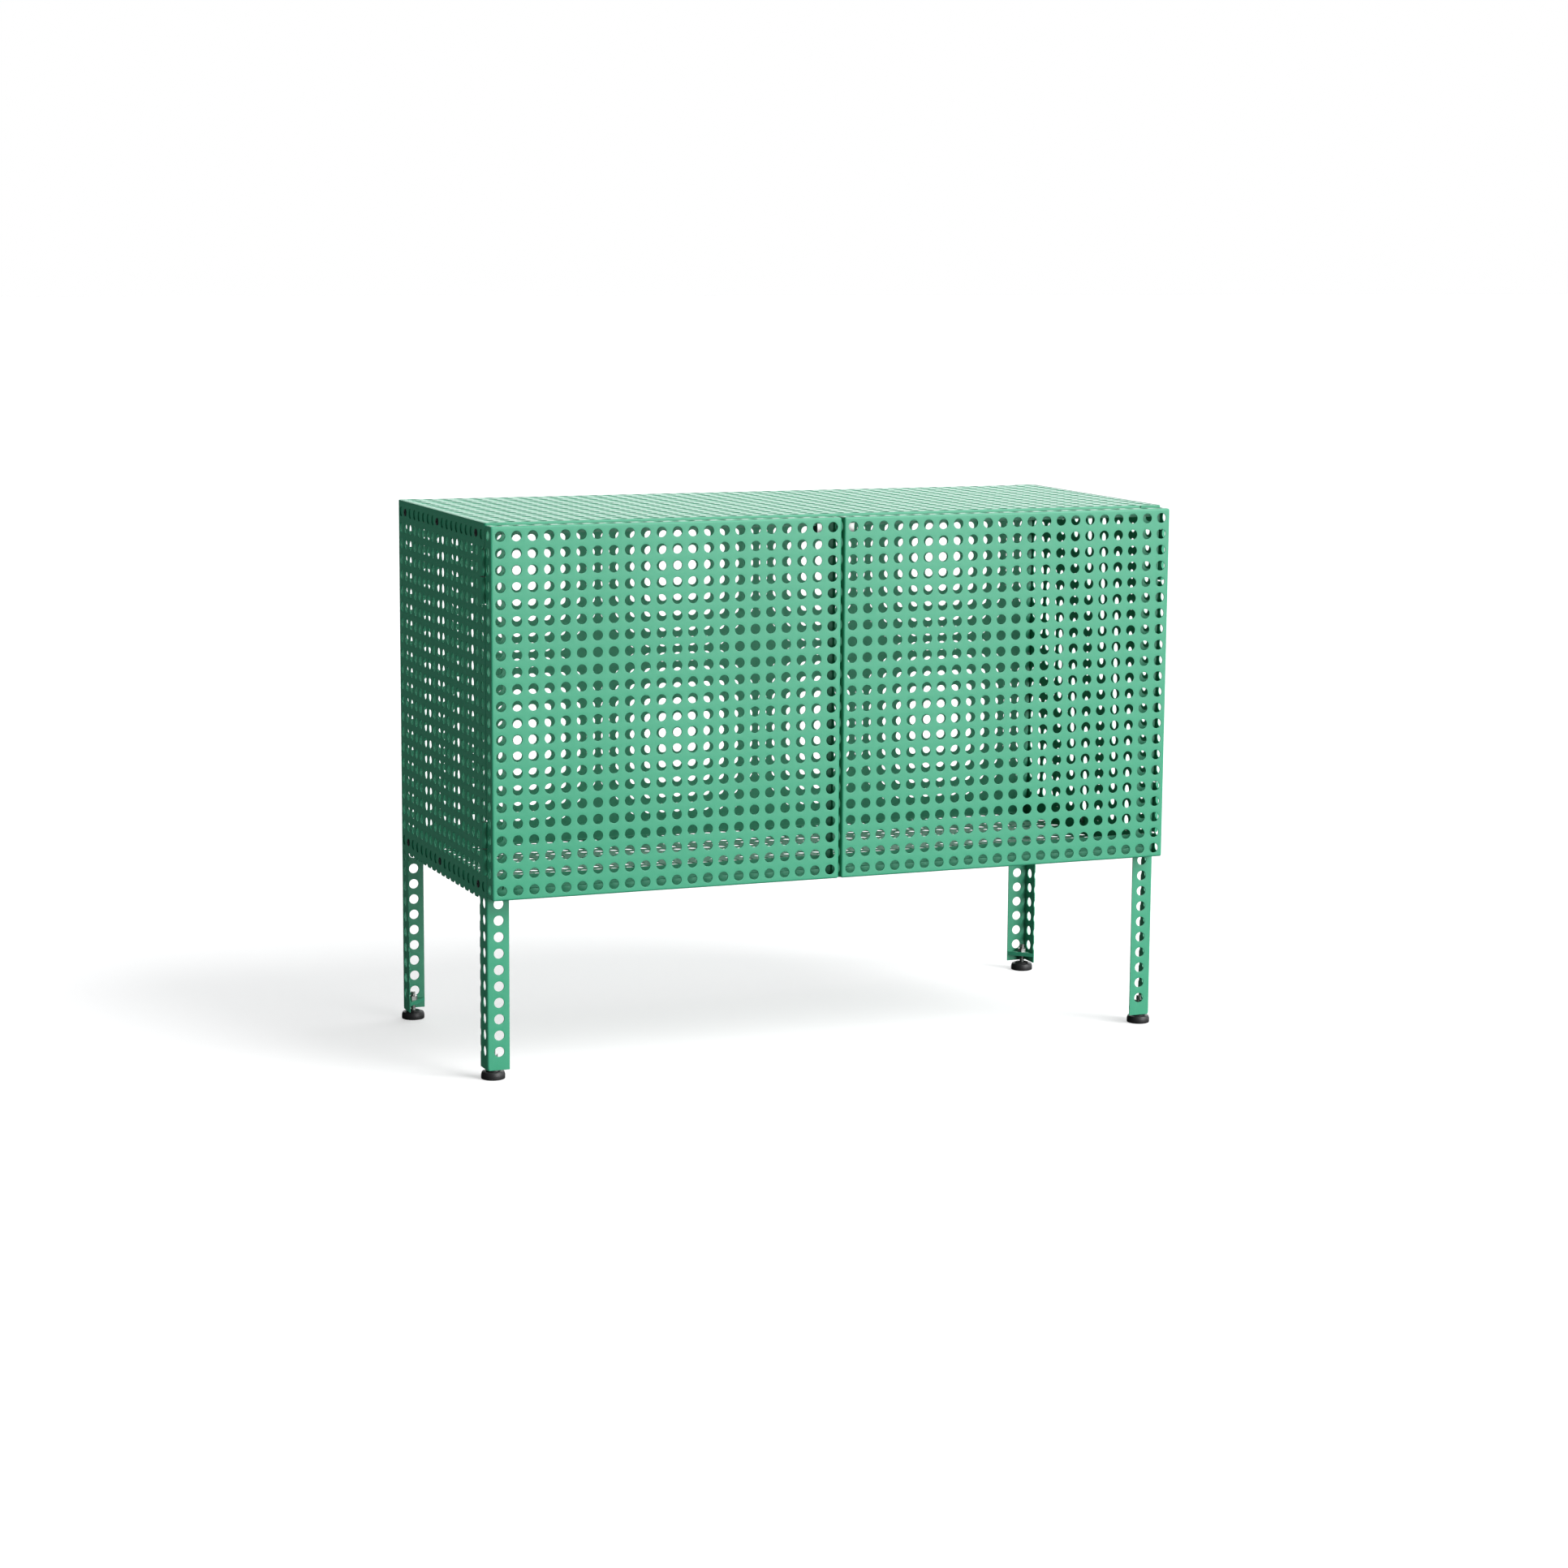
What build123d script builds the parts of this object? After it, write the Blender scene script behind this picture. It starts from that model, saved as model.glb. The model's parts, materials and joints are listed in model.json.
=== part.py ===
"""Low perforated sheet-steel cabinet with two hinged doors, on folded legs with levelling feet.

Millimetres. +Z is up, the doors face -Y, and the origin is on the floor under the middle of the
cabinet. Each sub-part is one STEP file in parts/.
"""
from build123d import *
import os

os.makedirs("parts", exist_ok=True)

# ------------------------------------------------------------------------------ overall sizes
cabinet_width = 890.0  # across the outsides of the two side frames
overall_height = 668.0  # floor to the top edge
frame_depth = 364.0  # front to rear of a side frame
carcass_height = 451.0  # top edge to bottom edge of a side panel

# ------------------------------------------------------------------------------ sheet metal
frame_sheet = 1.5  # side frames
panel_sheet = 1.2  # doors, top, bottom and back
bend_radius = 2.2  # outside of a bend
coat_gap = 0.1  # powder coat between two sheets that lie together

# ------------------------------------------------------------------------------ perforation
pitch = 20.0  # hole centre to hole centre, both ways
hole_radius = 6.2
hole_land = 4.0  # least metal between a hole and the edge of its panel

# ------------------------------------------------------------------------------ side frames
leg_flange = 28.0  # width of each face of an angle leg
leg_end_land = 21.0  # least height of solid metal under a leg's last hole
gap_corner_radius = 2.0  # where a leg meets the bottom edge of the side panel

# ------------------------------------------------------------------------------ doors
door_gap = 3.6  # between the two doors
door_depth = 23.0  # front face to the back of the folded edge
door_lip = 9.0  # width of the return lip behind the folded edge
door_corner_radius = 2.6
door_top_reveal = 2.4  # top edge of the frame to the top of a door
door_bottom_reveal = 5.4  # bottom of a door to the bottom edge of the side panel
seam = 1.5  # back of a door to the front of the side frames

# ------------------------------------------------------------------------------ top and bottom
top_side_flange = 20.0
top_end_flange = 14.5  # front and rear
tray_lift = 1.0  # bottom edge of the side panel to the underside of the bottom panel
tray_front_flange = 30.0
tray_flange = 22.0  # sides and rear
pan_corner_radius = 2.6
back_edge_gap = 0.5  # above and below the back panel
back_side_gap = 0.8  # back panel to the inside of a side frame

# ------------------------------------------------------------------------------ hinges
hinge_inset = 60.0  # middle of a hinge to the nearer end of its door
hinge_outset = 1.5  # hinge axis outside the side of the cabinet
knuckle_radius = 4.0
knuckle_length = 31.5
knuckle_washer = 1.0
knuckle_seat_gap = 0.05  # washer to the knuckle that turns on it
hinge_pin_radius = 2.5
hinge_bore_clearance = 0.05  # pin in the door knuckle
hinge_press_gap = 0.02  # pin in the frame knuckle
hinge_pin_depth = 25.0  # pin in each knuckle
hinge_washer_radius = 3.3
notch_side_clearance = 0.6  # knuckle to the edges of the notch around it
notch_end_clearance = 1.5

# ------------------------------------------------------------------------------ fasteners
screw_head_radius = 4.65
screw_head_height = 1.4
screw_radius = 2.5
screw_length = 8.0
screw_hole_clearance = 0.15
socket_radius = 1.7
socket_depth = 0.9
clinch_nut_radius = 4.5
clinch_nut_height = 4.0
thread_gap = 0.02  # screw in its nut
rivet_radius = 1.6
rivet_head_radius = 3.2
rivet_head_height = 1.0
rivet_tail_radius = 2.4
rivet_tail_length = 2.0
rivet_hole_clearance = 0.05
rivets_each_side = 4

# ------------------------------------------------------------------------------ magnetic catch
catch_width = 48.0
catch_depth = 16.0
catch_drop = 12.4  # height of the body below the front flange of the top panel
catch_tab_height = 10.5
catch_tab_thickness = 2.5
catch_rivet_spacing = 30.0
catch_gap = 0.1  # body to the sheet above it
catch_corner_radius = 1.0
pocket_width = 18.0
pocket_height = 8.0
pocket_depth = 10.0
pole_thickness = 1.5
pole_proud = 0.4  # pole plates stand in front of the body
pole_gap = 0.05  # pole plates to the strike plate of a closed door
strike_width = 20.0
strike_height = 21.5
strike_thickness = 1.0
strike_edge_gap = 2.4  # free edge of the door to the strike plate
strike_top_gap = 1.6  # top of the door to the strike plate
small_rivet_radius = 1.5
small_rivet_head_radius = 2.8
small_rivet_head_height = 0.7

# ------------------------------------------------------------------------------ feet
foot_radius = 14.5
foot_top_radius = 13.7
foot_straight_height = 5.5
foot_height = 9.0
foot_edge_radius = 0.8
neck_radius = 9.0
neck_height = 1.5
foot_clearance = 1.0  # neck to the end of the leg, with the foot screwed right in
foot_inset = 10.0  # foot axis to the two outer faces of its leg
stud_radius = 3.0
stud_embed = 6.0  # stud in the foot
stud_reach = 5.5  # stud above the nut
stud_chamfer = 0.6
stud_bore_clearance = 0.05
foot_plate_lift = 8.0  # end of the leg to the underside of the foot plate
foot_plate_thickness = 5.0
foot_plate_hole_clearance = 0.4
foot_nut_across_flats = 10.0
foot_nut_height = 5.0

# ------------------------------------------------------------------------------ derived places
half_width = cabinet_width / 2
overall_depth = door_depth + seam + frame_depth + foot_radius - foot_inset
front_y = -overall_depth / 2
door_back_y = front_y + door_depth
frame_front_y = door_back_y + seam
frame_rear_y = frame_front_y + frame_depth
frame_middle_y = (frame_front_y + frame_rear_y) / 2
leg_bottom_z = foot_height + neck_height + foot_clearance
panel_bottom_z = overall_height - carcass_height
frame_height = overall_height - leg_bottom_z

door_width = (cabinet_width - door_gap) / 2
door_top_z = overall_height - door_top_reveal
door_bottom_z = panel_bottom_z + door_bottom_reveal
door_height = door_top_z - door_bottom_z
door_middle_z = (door_top_z + door_bottom_z) / 2

inner_half_width = half_width - frame_sheet - coat_gap
pan_front_y = frame_front_y + frame_sheet + coat_gap
back_rear_y = frame_rear_y - frame_sheet - coat_gap
pan_rear_y = back_rear_y - panel_sheet - coat_gap
pan_depth = pan_rear_y - pan_front_y
pan_middle_y = (pan_front_y + pan_rear_y) / 2
tray_bottom_z = panel_bottom_z + tray_lift


def hole_row(length, middle=0.0):
    """Centres of the holes that fit in a row of this length, about its middle."""
    count = int((length - 2 * hole_radius - 2 * hole_land) // pitch) + 1
    first = middle - pitch * (count - 1) / 2
    return [first + pitch * index for index in range(count)]


def grid(first_values, second_values):
    """Every pair of a value from each list."""
    return [(first, second) for first in first_values for second in second_values]


def facing_front(y):
    """Plane across the cabinet at this depth: X to the right, Z up, normal to the front."""
    return Plane.XZ.offset(-y)


def facing_side(x):
    """Plane along the cabinet's side at this width: Y to the rear, Z up, normal to +X."""
    return Plane.YZ.offset(x)


def level(z):
    """Plane at this height: X to the right, Y to the rear, normal up."""
    return Plane.XY.offset(z)


def punch(plane, spots, radius, depth):
    """Cut round holes through the open part, from the plane against its normal."""
    with BuildSketch(plane) as holes:
        with Locations(*spots):
            Circle(radius)
    extrude(holes.sketch, amount=-depth, mode=Mode.SUBTRACT)


def studs(plane, spots, radius, length):
    """Add round bars to the open part, from the plane along its normal."""
    with BuildSketch(plane) as rounds:
        with Locations(*spots):
            Circle(radius)
    extrude(rounds.sketch, amount=length)


def rounded_block(plane, width, height, depth, corner, edge_radius, both_ends):
    """Block behind the plane, its edges rounded there, and at its other end when asked."""
    along = Axis(plane.origin, plane.z_dir)
    with BuildPart() as block:
        with BuildSketch(plane):
            RectangleRounded(width, height, corner)
        extrude(amount=-depth)
        fillet(block.faces().sort_by(along)[-1].edges(), radius=edge_radius)
        if both_ends:
            fillet(block.faces().sort_by(along)[0].edges(), radius=edge_radius)
    return block.part


def folded_pan(plane, width, height, depth, corner, lip=0.0):
    """Sheet folded into a pan: its face lies on the plane and its edges turn back from it.

    A lip is the return fold at the back of the edges, all round.
    """
    folded = lip > panel_sheet
    room_depth = depth - 2 * panel_sheet if folded else depth
    outside = rounded_block(plane, width, height, depth, corner, bend_radius, folded)
    room = rounded_block(
        plane.offset(-panel_sheet),
        width - 2 * panel_sheet,
        height - 2 * panel_sheet,
        room_depth,
        corner - panel_sheet,
        bend_radius - panel_sheet,
        folded,
    )
    with BuildPart() as pan:
        add(outside)
        add(room, mode=Mode.SUBTRACT)
        if folded:
            with BuildSketch(plane.offset(-depth)):
                Rectangle(width - 2 * lip, height - 2 * lip)
            extrude(amount=2 * panel_sheet, mode=Mode.SUBTRACT)
    return pan.part


def finish(part, name):
    """Label a finished piece and write it as the node of that name."""
    part.label = name
    export_step(part, f"parts/{name}.step")


# ------------------------------------------------------------------------------ hole lines
columns_x = hole_row(2 * inner_half_width)
columns_y = hole_row(frame_depth, frame_middle_y)
rows_z = hole_row(door_height, door_middle_z)
leg_row_count = int((rows_z[0] - leg_bottom_z - leg_end_land) // pitch)
leg_rows_z = [rows_z[0] - pitch * (index + 1) for index in range(leg_row_count)]
leg_hole_x = columns_x[-1]

screw_columns_y = [columns_y[1], columns_y[len(columns_y) // 2], columns_y[-2]]
screw_rows_z = [rows_z[0], rows_z[-1]]
screw_spots = grid(screw_columns_y, screw_rows_z)

rivet_rows_z = [
    rows_z[1] + pitch / 2 + pitch * round(index * (len(rows_z) - 4) / (rivets_each_side - 1))
    for index in range(rivets_each_side)
]

# ------------------------------------------------------------------------------ hinge places
hinge_x = half_width + hinge_outset
hinge_y = (door_back_y + frame_front_y) / 2
hinge_middles_z = {"upper": door_top_z - hinge_inset, "lower": door_bottom_z + hinge_inset}
hinge_span = 2 * knuckle_length + knuckle_washer + knuckle_seat_gap
notch_reach = knuckle_radius + notch_side_clearance
notch_height = hinge_span + 2 * notch_end_clearance


def cut_hinge_notches(side):
    """Clear the open sheet part around both hinges on this side of the cabinet."""
    for middle_z in hinge_middles_z.values():
        with Locations((side * hinge_x, hinge_y, middle_z)):
            Box(2 * notch_reach, 2 * notch_reach, notch_height, mode=Mode.SUBTRACT)


# ------------------------------------------------------------------------------ side frames
flange_spots = grid([-leg_hole_x], rows_z + leg_rows_z)
rivet_spots = grid([-leg_hole_x], rivet_rows_z)
panel_spots = [spot for spot in grid(columns_y, rows_z) if spot not in screw_spots]
leg_spots = grid([columns_y[0], columns_y[-1]], leg_rows_z)
left_face = facing_side(-half_width + 2 * frame_sheet)

with BuildPart() as side_frame_left:
    with BuildSketch(level(leg_bottom_z)):
        with Locations((leg_flange - half_width, frame_middle_y)):
            RectangleRounded(2 * leg_flange, frame_depth, bend_radius)
        with Locations((leg_flange - half_width + frame_sheet, frame_middle_y)):
            RectangleRounded(
                2 * leg_flange,
                frame_depth - 2 * frame_sheet,
                bend_radius - frame_sheet,
                mode=Mode.SUBTRACT,
            )
        with Locations((leg_flange / 2 - half_width, frame_middle_y)):
            Rectangle(leg_flange, frame_depth, mode=Mode.INTERSECT)
    extrude(amount=frame_height)
    with BuildSketch(left_face):
        with Locations((frame_middle_y, leg_bottom_z)):
            RectangleRounded(
                frame_depth - 2 * leg_flange,
                2 * (panel_bottom_z - leg_bottom_z),
                gap_corner_radius,
            )
    extrude(amount=-3 * frame_sheet, mode=Mode.SUBTRACT)
    punch(left_face, panel_spots + leg_spots, hole_radius, 3 * frame_sheet)
    punch(left_face, screw_spots, screw_radius + screw_hole_clearance, 3 * frame_sheet)
    front_face = facing_front(frame_front_y - frame_sheet)
    punch(front_face, flange_spots, hole_radius, frame_depth + 2 * frame_sheet)
    rear_inside = facing_front(frame_rear_y - 2 * frame_sheet)
    punch(rear_inside, rivet_spots, rivet_radius + rivet_hole_clearance, 3 * frame_sheet)
    cut_hinge_notches(-1)
finish(side_frame_left.part, "side_frame_left")

with BuildPart() as side_frame_right:
    mirror(side_frame_left.part, about=Plane.YZ)
finish(side_frame_right.part, "side_frame_right")

# ------------------------------------------------------------------------------ doors
door_middle_x = -(door_gap + door_width) / 2
door_columns_x = hole_row(door_width, door_middle_x)
door_face = Plane((door_middle_x, front_y, door_middle_z), x_dir=(1, 0, 0), z_dir=(0, -1, 0))
edge_row_y = front_y + door_depth / 2
strike_middle_x = door_gap / 2 + strike_edge_gap + strike_width / 2
strike_top_z = door_top_z - strike_top_gap
strike_rivet_z = door_top_z - door_lip / 2 - panel_sheet

with BuildPart() as left_door:
    add(folded_pan(door_face, door_width, door_height, door_depth, door_corner_radius, door_lip))
    punch(
        facing_front(front_y - panel_sheet),
        grid(door_columns_x, rows_z),
        hole_radius,
        3 * panel_sheet,
    )
    for edge_x in (door_middle_x - door_width / 2, door_middle_x + door_width / 2):
        edge_plane = facing_side(edge_x + 2 * panel_sheet)
        punch(edge_plane, grid([edge_row_y], rows_z), hole_radius, 4 * panel_sheet)
    for edge_z in (door_bottom_z, door_top_z):
        edge_plane = level(edge_z + 2 * panel_sheet)
        punch(edge_plane, grid(door_columns_x, [edge_row_y]), hole_radius, 4 * panel_sheet)
    punch(
        facing_front(door_back_y - 2 * panel_sheet),
        [(-strike_middle_x, strike_rivet_z)],
        small_rivet_radius + rivet_hole_clearance,
        3 * panel_sheet,
    )
    cut_hinge_notches(-1)
finish(left_door.part, "left_door")

with BuildPart() as right_door:
    mirror(left_door.part, about=Plane.YZ)
finish(right_door.part, "right_door")

# ------------------------------------------------------------------------------ top panel
top_face = Plane((0, pan_middle_y, overall_height), x_dir=(1, 0, 0), z_dir=(0, 0, 1))
catch_rivet_z = overall_height - top_end_flange + catch_tab_height / 2
catch_spots = grid([-catch_rivet_spacing / 2, catch_rivet_spacing / 2], [catch_rivet_z])

with BuildPart() as top_panel:
    add(folded_pan(top_face, 2 * inner_half_width, pan_depth, top_side_flange, pan_corner_radius))
    for end_y in (pan_front_y, pan_rear_y):
        with Locations((0, end_y, overall_height - top_side_flange)):
            Box(
                2 * inner_half_width,
                2 * (panel_sheet + coat_gap),
                2 * (top_side_flange - top_end_flange),
                mode=Mode.SUBTRACT,
            )
    above = level(overall_height + panel_sheet)
    punch(above, grid(columns_x, columns_y), hole_radius, 3 * panel_sheet)
    spots = grid(screw_columns_y, [rows_z[-1]])
    punch(facing_side(half_width), spots, screw_radius + screw_hole_clearance, cabinet_width)
    ahead = facing_front(pan_front_y - panel_sheet)
    punch(ahead, catch_spots, rivet_radius + rivet_hole_clearance, 3 * panel_sheet)
finish(top_panel.part, "top_panel")

# ------------------------------------------------------------------------------ bottom panel
tray_face = Plane((0, pan_middle_y, tray_bottom_z), x_dir=(1, 0, 0), z_dir=(0, 0, -1))
with BuildPart() as bottom_panel:
    add(folded_pan(tray_face, 2 * inner_half_width, pan_depth, tray_front_flange, pan_corner_radius))
    flange_cut = tray_front_flange - tray_flange
    cut_front_y = pan_front_y + panel_sheet + coat_gap
    with Locations((0, cut_front_y, tray_bottom_z + tray_flange)):
        Box(
            cabinet_width,
            pan_depth,
            flange_cut + panel_sheet,
            align=(Align.CENTER, Align.MIN, Align.MIN),
            mode=Mode.SUBTRACT,
        )
    floor_top = level(tray_bottom_z + 2 * panel_sheet)
    punch(floor_top, grid(columns_x, columns_y), hole_radius, 3 * panel_sheet)
    spots = grid(screw_columns_y, [rows_z[0]])
    punch(facing_side(half_width), spots, screw_radius + screw_hole_clearance, cabinet_width)
finish(bottom_panel.part, "bottom_panel")

# ------------------------------------------------------------------------------ back panel
back_height = overall_height - panel_bottom_z - 2 * back_edge_gap
back_middle_z = (overall_height + panel_bottom_z) / 2
with BuildPart() as back_panel:
    with BuildSketch(facing_front(back_rear_y)):
        with Locations((0, back_middle_z)):
            Rectangle(2 * (half_width - frame_sheet - back_side_gap), back_height)
        with Locations(*grid(columns_x, rows_z)):
            Circle(hole_radius, mode=Mode.SUBTRACT)
        with Locations(*grid([-leg_hole_x, leg_hole_x], rivet_rows_z)):
            Circle(rivet_radius + rivet_hole_clearance, mode=Mode.SUBTRACT)
    extrude(amount=panel_sheet)
finish(back_panel.part, "back_panel")

# ------------------------------------------------------------------------------ side screws
with BuildPart() as side_screws:
    for side in (-1, 1):
        outer = facing_side(side * half_width)
        studs(outer, screw_spots, screw_head_radius, side * screw_head_height)
    fillet(side_screws.edges().group_by(Axis.X)[0], radius=screw_head_height / 2)
    fillet(side_screws.edges().group_by(Axis.X)[-1], radius=screw_head_height / 2)
    for side in (-1, 1):
        studs(facing_side(side * half_width), screw_spots, screw_radius, -side * screw_length)
        head_face = facing_side(side * (half_width + screw_head_height))
        with BuildSketch(head_face) as sockets:
            with Locations(*screw_spots):
                RegularPolygon(socket_radius, 6)
        extrude(sockets.sketch, amount=-side * socket_depth, mode=Mode.SUBTRACT)
finish(side_screws.part, "side_screws")

with BuildPart() as clinch_nuts:
    for side in (-1, 1):
        seat = facing_side(side * (inner_half_width - panel_sheet))
        studs(seat, screw_spots, clinch_nut_radius, -side * clinch_nut_height)
        punch(seat, screw_spots, screw_radius + thread_gap, side * clinch_nut_height)
finish(clinch_nuts.part, "clinch_nuts")

# ------------------------------------------------------------------------------ back rivets
rivet_grip = frame_sheet + coat_gap + panel_sheet
rivet_spots = grid([-leg_hole_x, leg_hole_x], rivet_rows_z)
with BuildPart() as back_rivets:
    studs(facing_front(frame_rear_y), rivet_spots, rivet_head_radius, -rivet_head_height)
    fillet(back_rivets.edges().group_by(Axis.Y)[-1], radius=rivet_head_height / 2)
    studs(facing_front(frame_rear_y), rivet_spots, rivet_radius, rivet_grip)
    studs(
        facing_front(frame_rear_y - rivet_grip), rivet_spots, rivet_tail_radius, rivet_tail_length
    )
finish(back_rivets.part, "back_rivets")

# ------------------------------------------------------------------------------ hinges
knuckle_base_offset = -hinge_span / 2
rib_length = notch_reach - knuckle_radius + panel_sheet

for side_name, side in (("left", -1), ("right", 1)):
    axis_spot = [(side * hinge_x, hinge_y)]
    for place, middle_z in hinge_middles_z.items():
        frame_bottom_z = middle_z - hinge_span / 2
        frame_top_z = frame_bottom_z + knuckle_length
        washer_top_z = frame_top_z + knuckle_washer
        door_knuckle_z = washer_top_z + knuckle_seat_gap
        with BuildPart() as frame_knuckle:
            studs(level(frame_bottom_z), axis_spot, knuckle_radius, knuckle_length)
            with Locations(
                (
                    side * (half_width - frame_sheet / 2),
                    hinge_y + notch_reach - rib_length / 2,
                    frame_bottom_z + knuckle_length / 2,
                )
            ):
                Box(frame_sheet, rib_length, knuckle_length)
            punch(
                level(frame_top_z),
                axis_spot,
                hinge_pin_radius + hinge_press_gap,
                hinge_pin_depth + hinge_press_gap,
            )
        finish(frame_knuckle.part, f"{side_name}_{place}_hinge_frame_knuckle")

        with BuildPart() as door_knuckle:
            studs(level(door_knuckle_z), axis_spot, knuckle_radius, knuckle_length)
            with Locations(
                (
                    side * (half_width - panel_sheet / 2),
                    hinge_y - notch_reach + rib_length / 2,
                    door_knuckle_z + knuckle_length / 2,
                )
            ):
                Box(panel_sheet, rib_length, knuckle_length)
            bore_depth = hinge_pin_depth + notch_end_clearance
            punch(
                level(door_knuckle_z + bore_depth),
                axis_spot,
                hinge_pin_radius + hinge_bore_clearance,
                bore_depth,
            )
        finish(door_knuckle.part, f"{side_name}_{place}_hinge_door_knuckle")

        with BuildPart() as hinge_pin:
            pin_bottom_z = frame_top_z - hinge_pin_depth
            pin_length = 2 * hinge_pin_depth + knuckle_washer
            studs(level(pin_bottom_z), axis_spot, hinge_pin_radius, pin_length)
            chamfer(hinge_pin.edges().sort_by(Axis.Z)[-1], length=stud_chamfer)
        finish(hinge_pin.part, f"{side_name}_{place}_hinge_pin")

        with BuildPart() as hinge_washer:
            studs(level(frame_top_z), axis_spot, hinge_washer_radius, knuckle_washer)
            punch(
                level(washer_top_z),
                axis_spot,
                hinge_pin_radius + hinge_bore_clearance,
                knuckle_washer,
            )
        finish(hinge_washer.part, f"{side_name}_{place}_hinge_washer")

# ------------------------------------------------------------------------------ magnetic catch
pole_front_y = door_back_y + strike_thickness + pole_gap
catch_front_y = pole_front_y + pole_proud
catch_top_z = overall_height - top_end_flange - catch_gap
catch_middle_z = catch_top_z - catch_drop / 2
tab_front_y = pan_front_y + panel_sheet + coat_gap
with BuildPart() as catch_body:
    with Locations((0, catch_front_y + catch_depth / 2, catch_middle_z)):
        Box(catch_width, catch_depth, catch_drop)
    fillet(catch_body.edges().filter_by(Axis.Z), radius=catch_corner_radius)
    with Locations((0, tab_front_y + catch_tab_thickness / 2, catch_top_z + catch_tab_height / 2)):
        Box(catch_width, catch_tab_thickness, catch_tab_height)
    punch(
        facing_front(tab_front_y),
        catch_spots,
        rivet_radius + rivet_hole_clearance,
        catch_tab_thickness,
    )
    for side in (-1, 1):
        with Locations((side * strike_middle_x, catch_front_y + pocket_depth / 2, catch_middle_z)):
            Box(pocket_width, pocket_depth, pocket_height, mode=Mode.SUBTRACT)
finish(catch_body.part, "catch_body")

magnet_width = pocket_width - 2 * pole_thickness
for side_name, side in (("left", -1), ("right", 1)):
    with BuildPart() as catch_magnet:
        with Locations((side * strike_middle_x, catch_front_y + pocket_depth / 2, catch_middle_z)):
            Box(magnet_width - coat_gap, pocket_depth - coat_gap, pocket_height - coat_gap)
    finish(catch_magnet.part, f"{side_name}_catch_magnet")

    pole_depth = pocket_depth + pole_proud - coat_gap
    with BuildPart() as pole_plates:
        for pole_side in (-1, 1):
            pole_x = side * strike_middle_x + pole_side * (magnet_width + pole_thickness) / 2
            with Locations((pole_x, pole_front_y + pole_depth / 2, catch_middle_z)):
                Box(pole_thickness - coat_gap, pole_depth, pocket_height - coat_gap)
    finish(pole_plates.part, f"{side_name}_catch_pole_plates")

    with BuildPart() as strike_plate:
        with BuildSketch(facing_front(door_back_y)) as strike_outline:
            with Locations((side * strike_middle_x, strike_top_z - strike_height / 2)):
                RectangleRounded(strike_width, strike_height, catch_corner_radius)
        extrude(amount=-strike_thickness)
        strike_spot = [(side * strike_middle_x, strike_rivet_z)]
        punch(
            facing_front(door_back_y),
            strike_spot,
            small_rivet_radius + rivet_hole_clearance,
            strike_thickness,
        )
    finish(strike_plate.part, f"{side_name}_door_strike_plate")

    strike_back = facing_front(door_back_y + strike_thickness)
    lip_inside = facing_front(door_back_y - panel_sheet)
    with BuildPart() as strike_rivet:
        studs(strike_back, strike_spot, small_rivet_head_radius, -small_rivet_head_height)
        studs(strike_back, strike_spot, small_rivet_radius, strike_thickness + panel_sheet)
        studs(lip_inside, strike_spot, small_rivet_head_radius, small_rivet_head_height)
    finish(strike_rivet.part, f"{side_name}_door_strike_rivet")

catch_grip = tab_front_y + catch_tab_thickness - pan_front_y
with BuildPart() as catch_rivets:
    studs(facing_front(pan_front_y), catch_spots, rivet_head_radius, rivet_head_height)
    studs(facing_front(pan_front_y), catch_spots, rivet_radius, -catch_grip)
    studs(
        facing_front(pan_front_y + catch_grip), catch_spots, rivet_tail_radius, -rivet_tail_length
    )
finish(catch_rivets.part, "catch_rivets")

# ------------------------------------------------------------------------------ feet
plate_bottom_z = leg_bottom_z + foot_plate_lift
plate_top_z = plate_bottom_z + foot_plate_thickness
nut_top_z = plate_top_z + foot_nut_height
stud_bottom_z = foot_height + neck_height - stud_embed
stud_top_z = nut_top_z + stud_reach
plate_near = frame_sheet + coat_gap
plate_far = leg_flange

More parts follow.
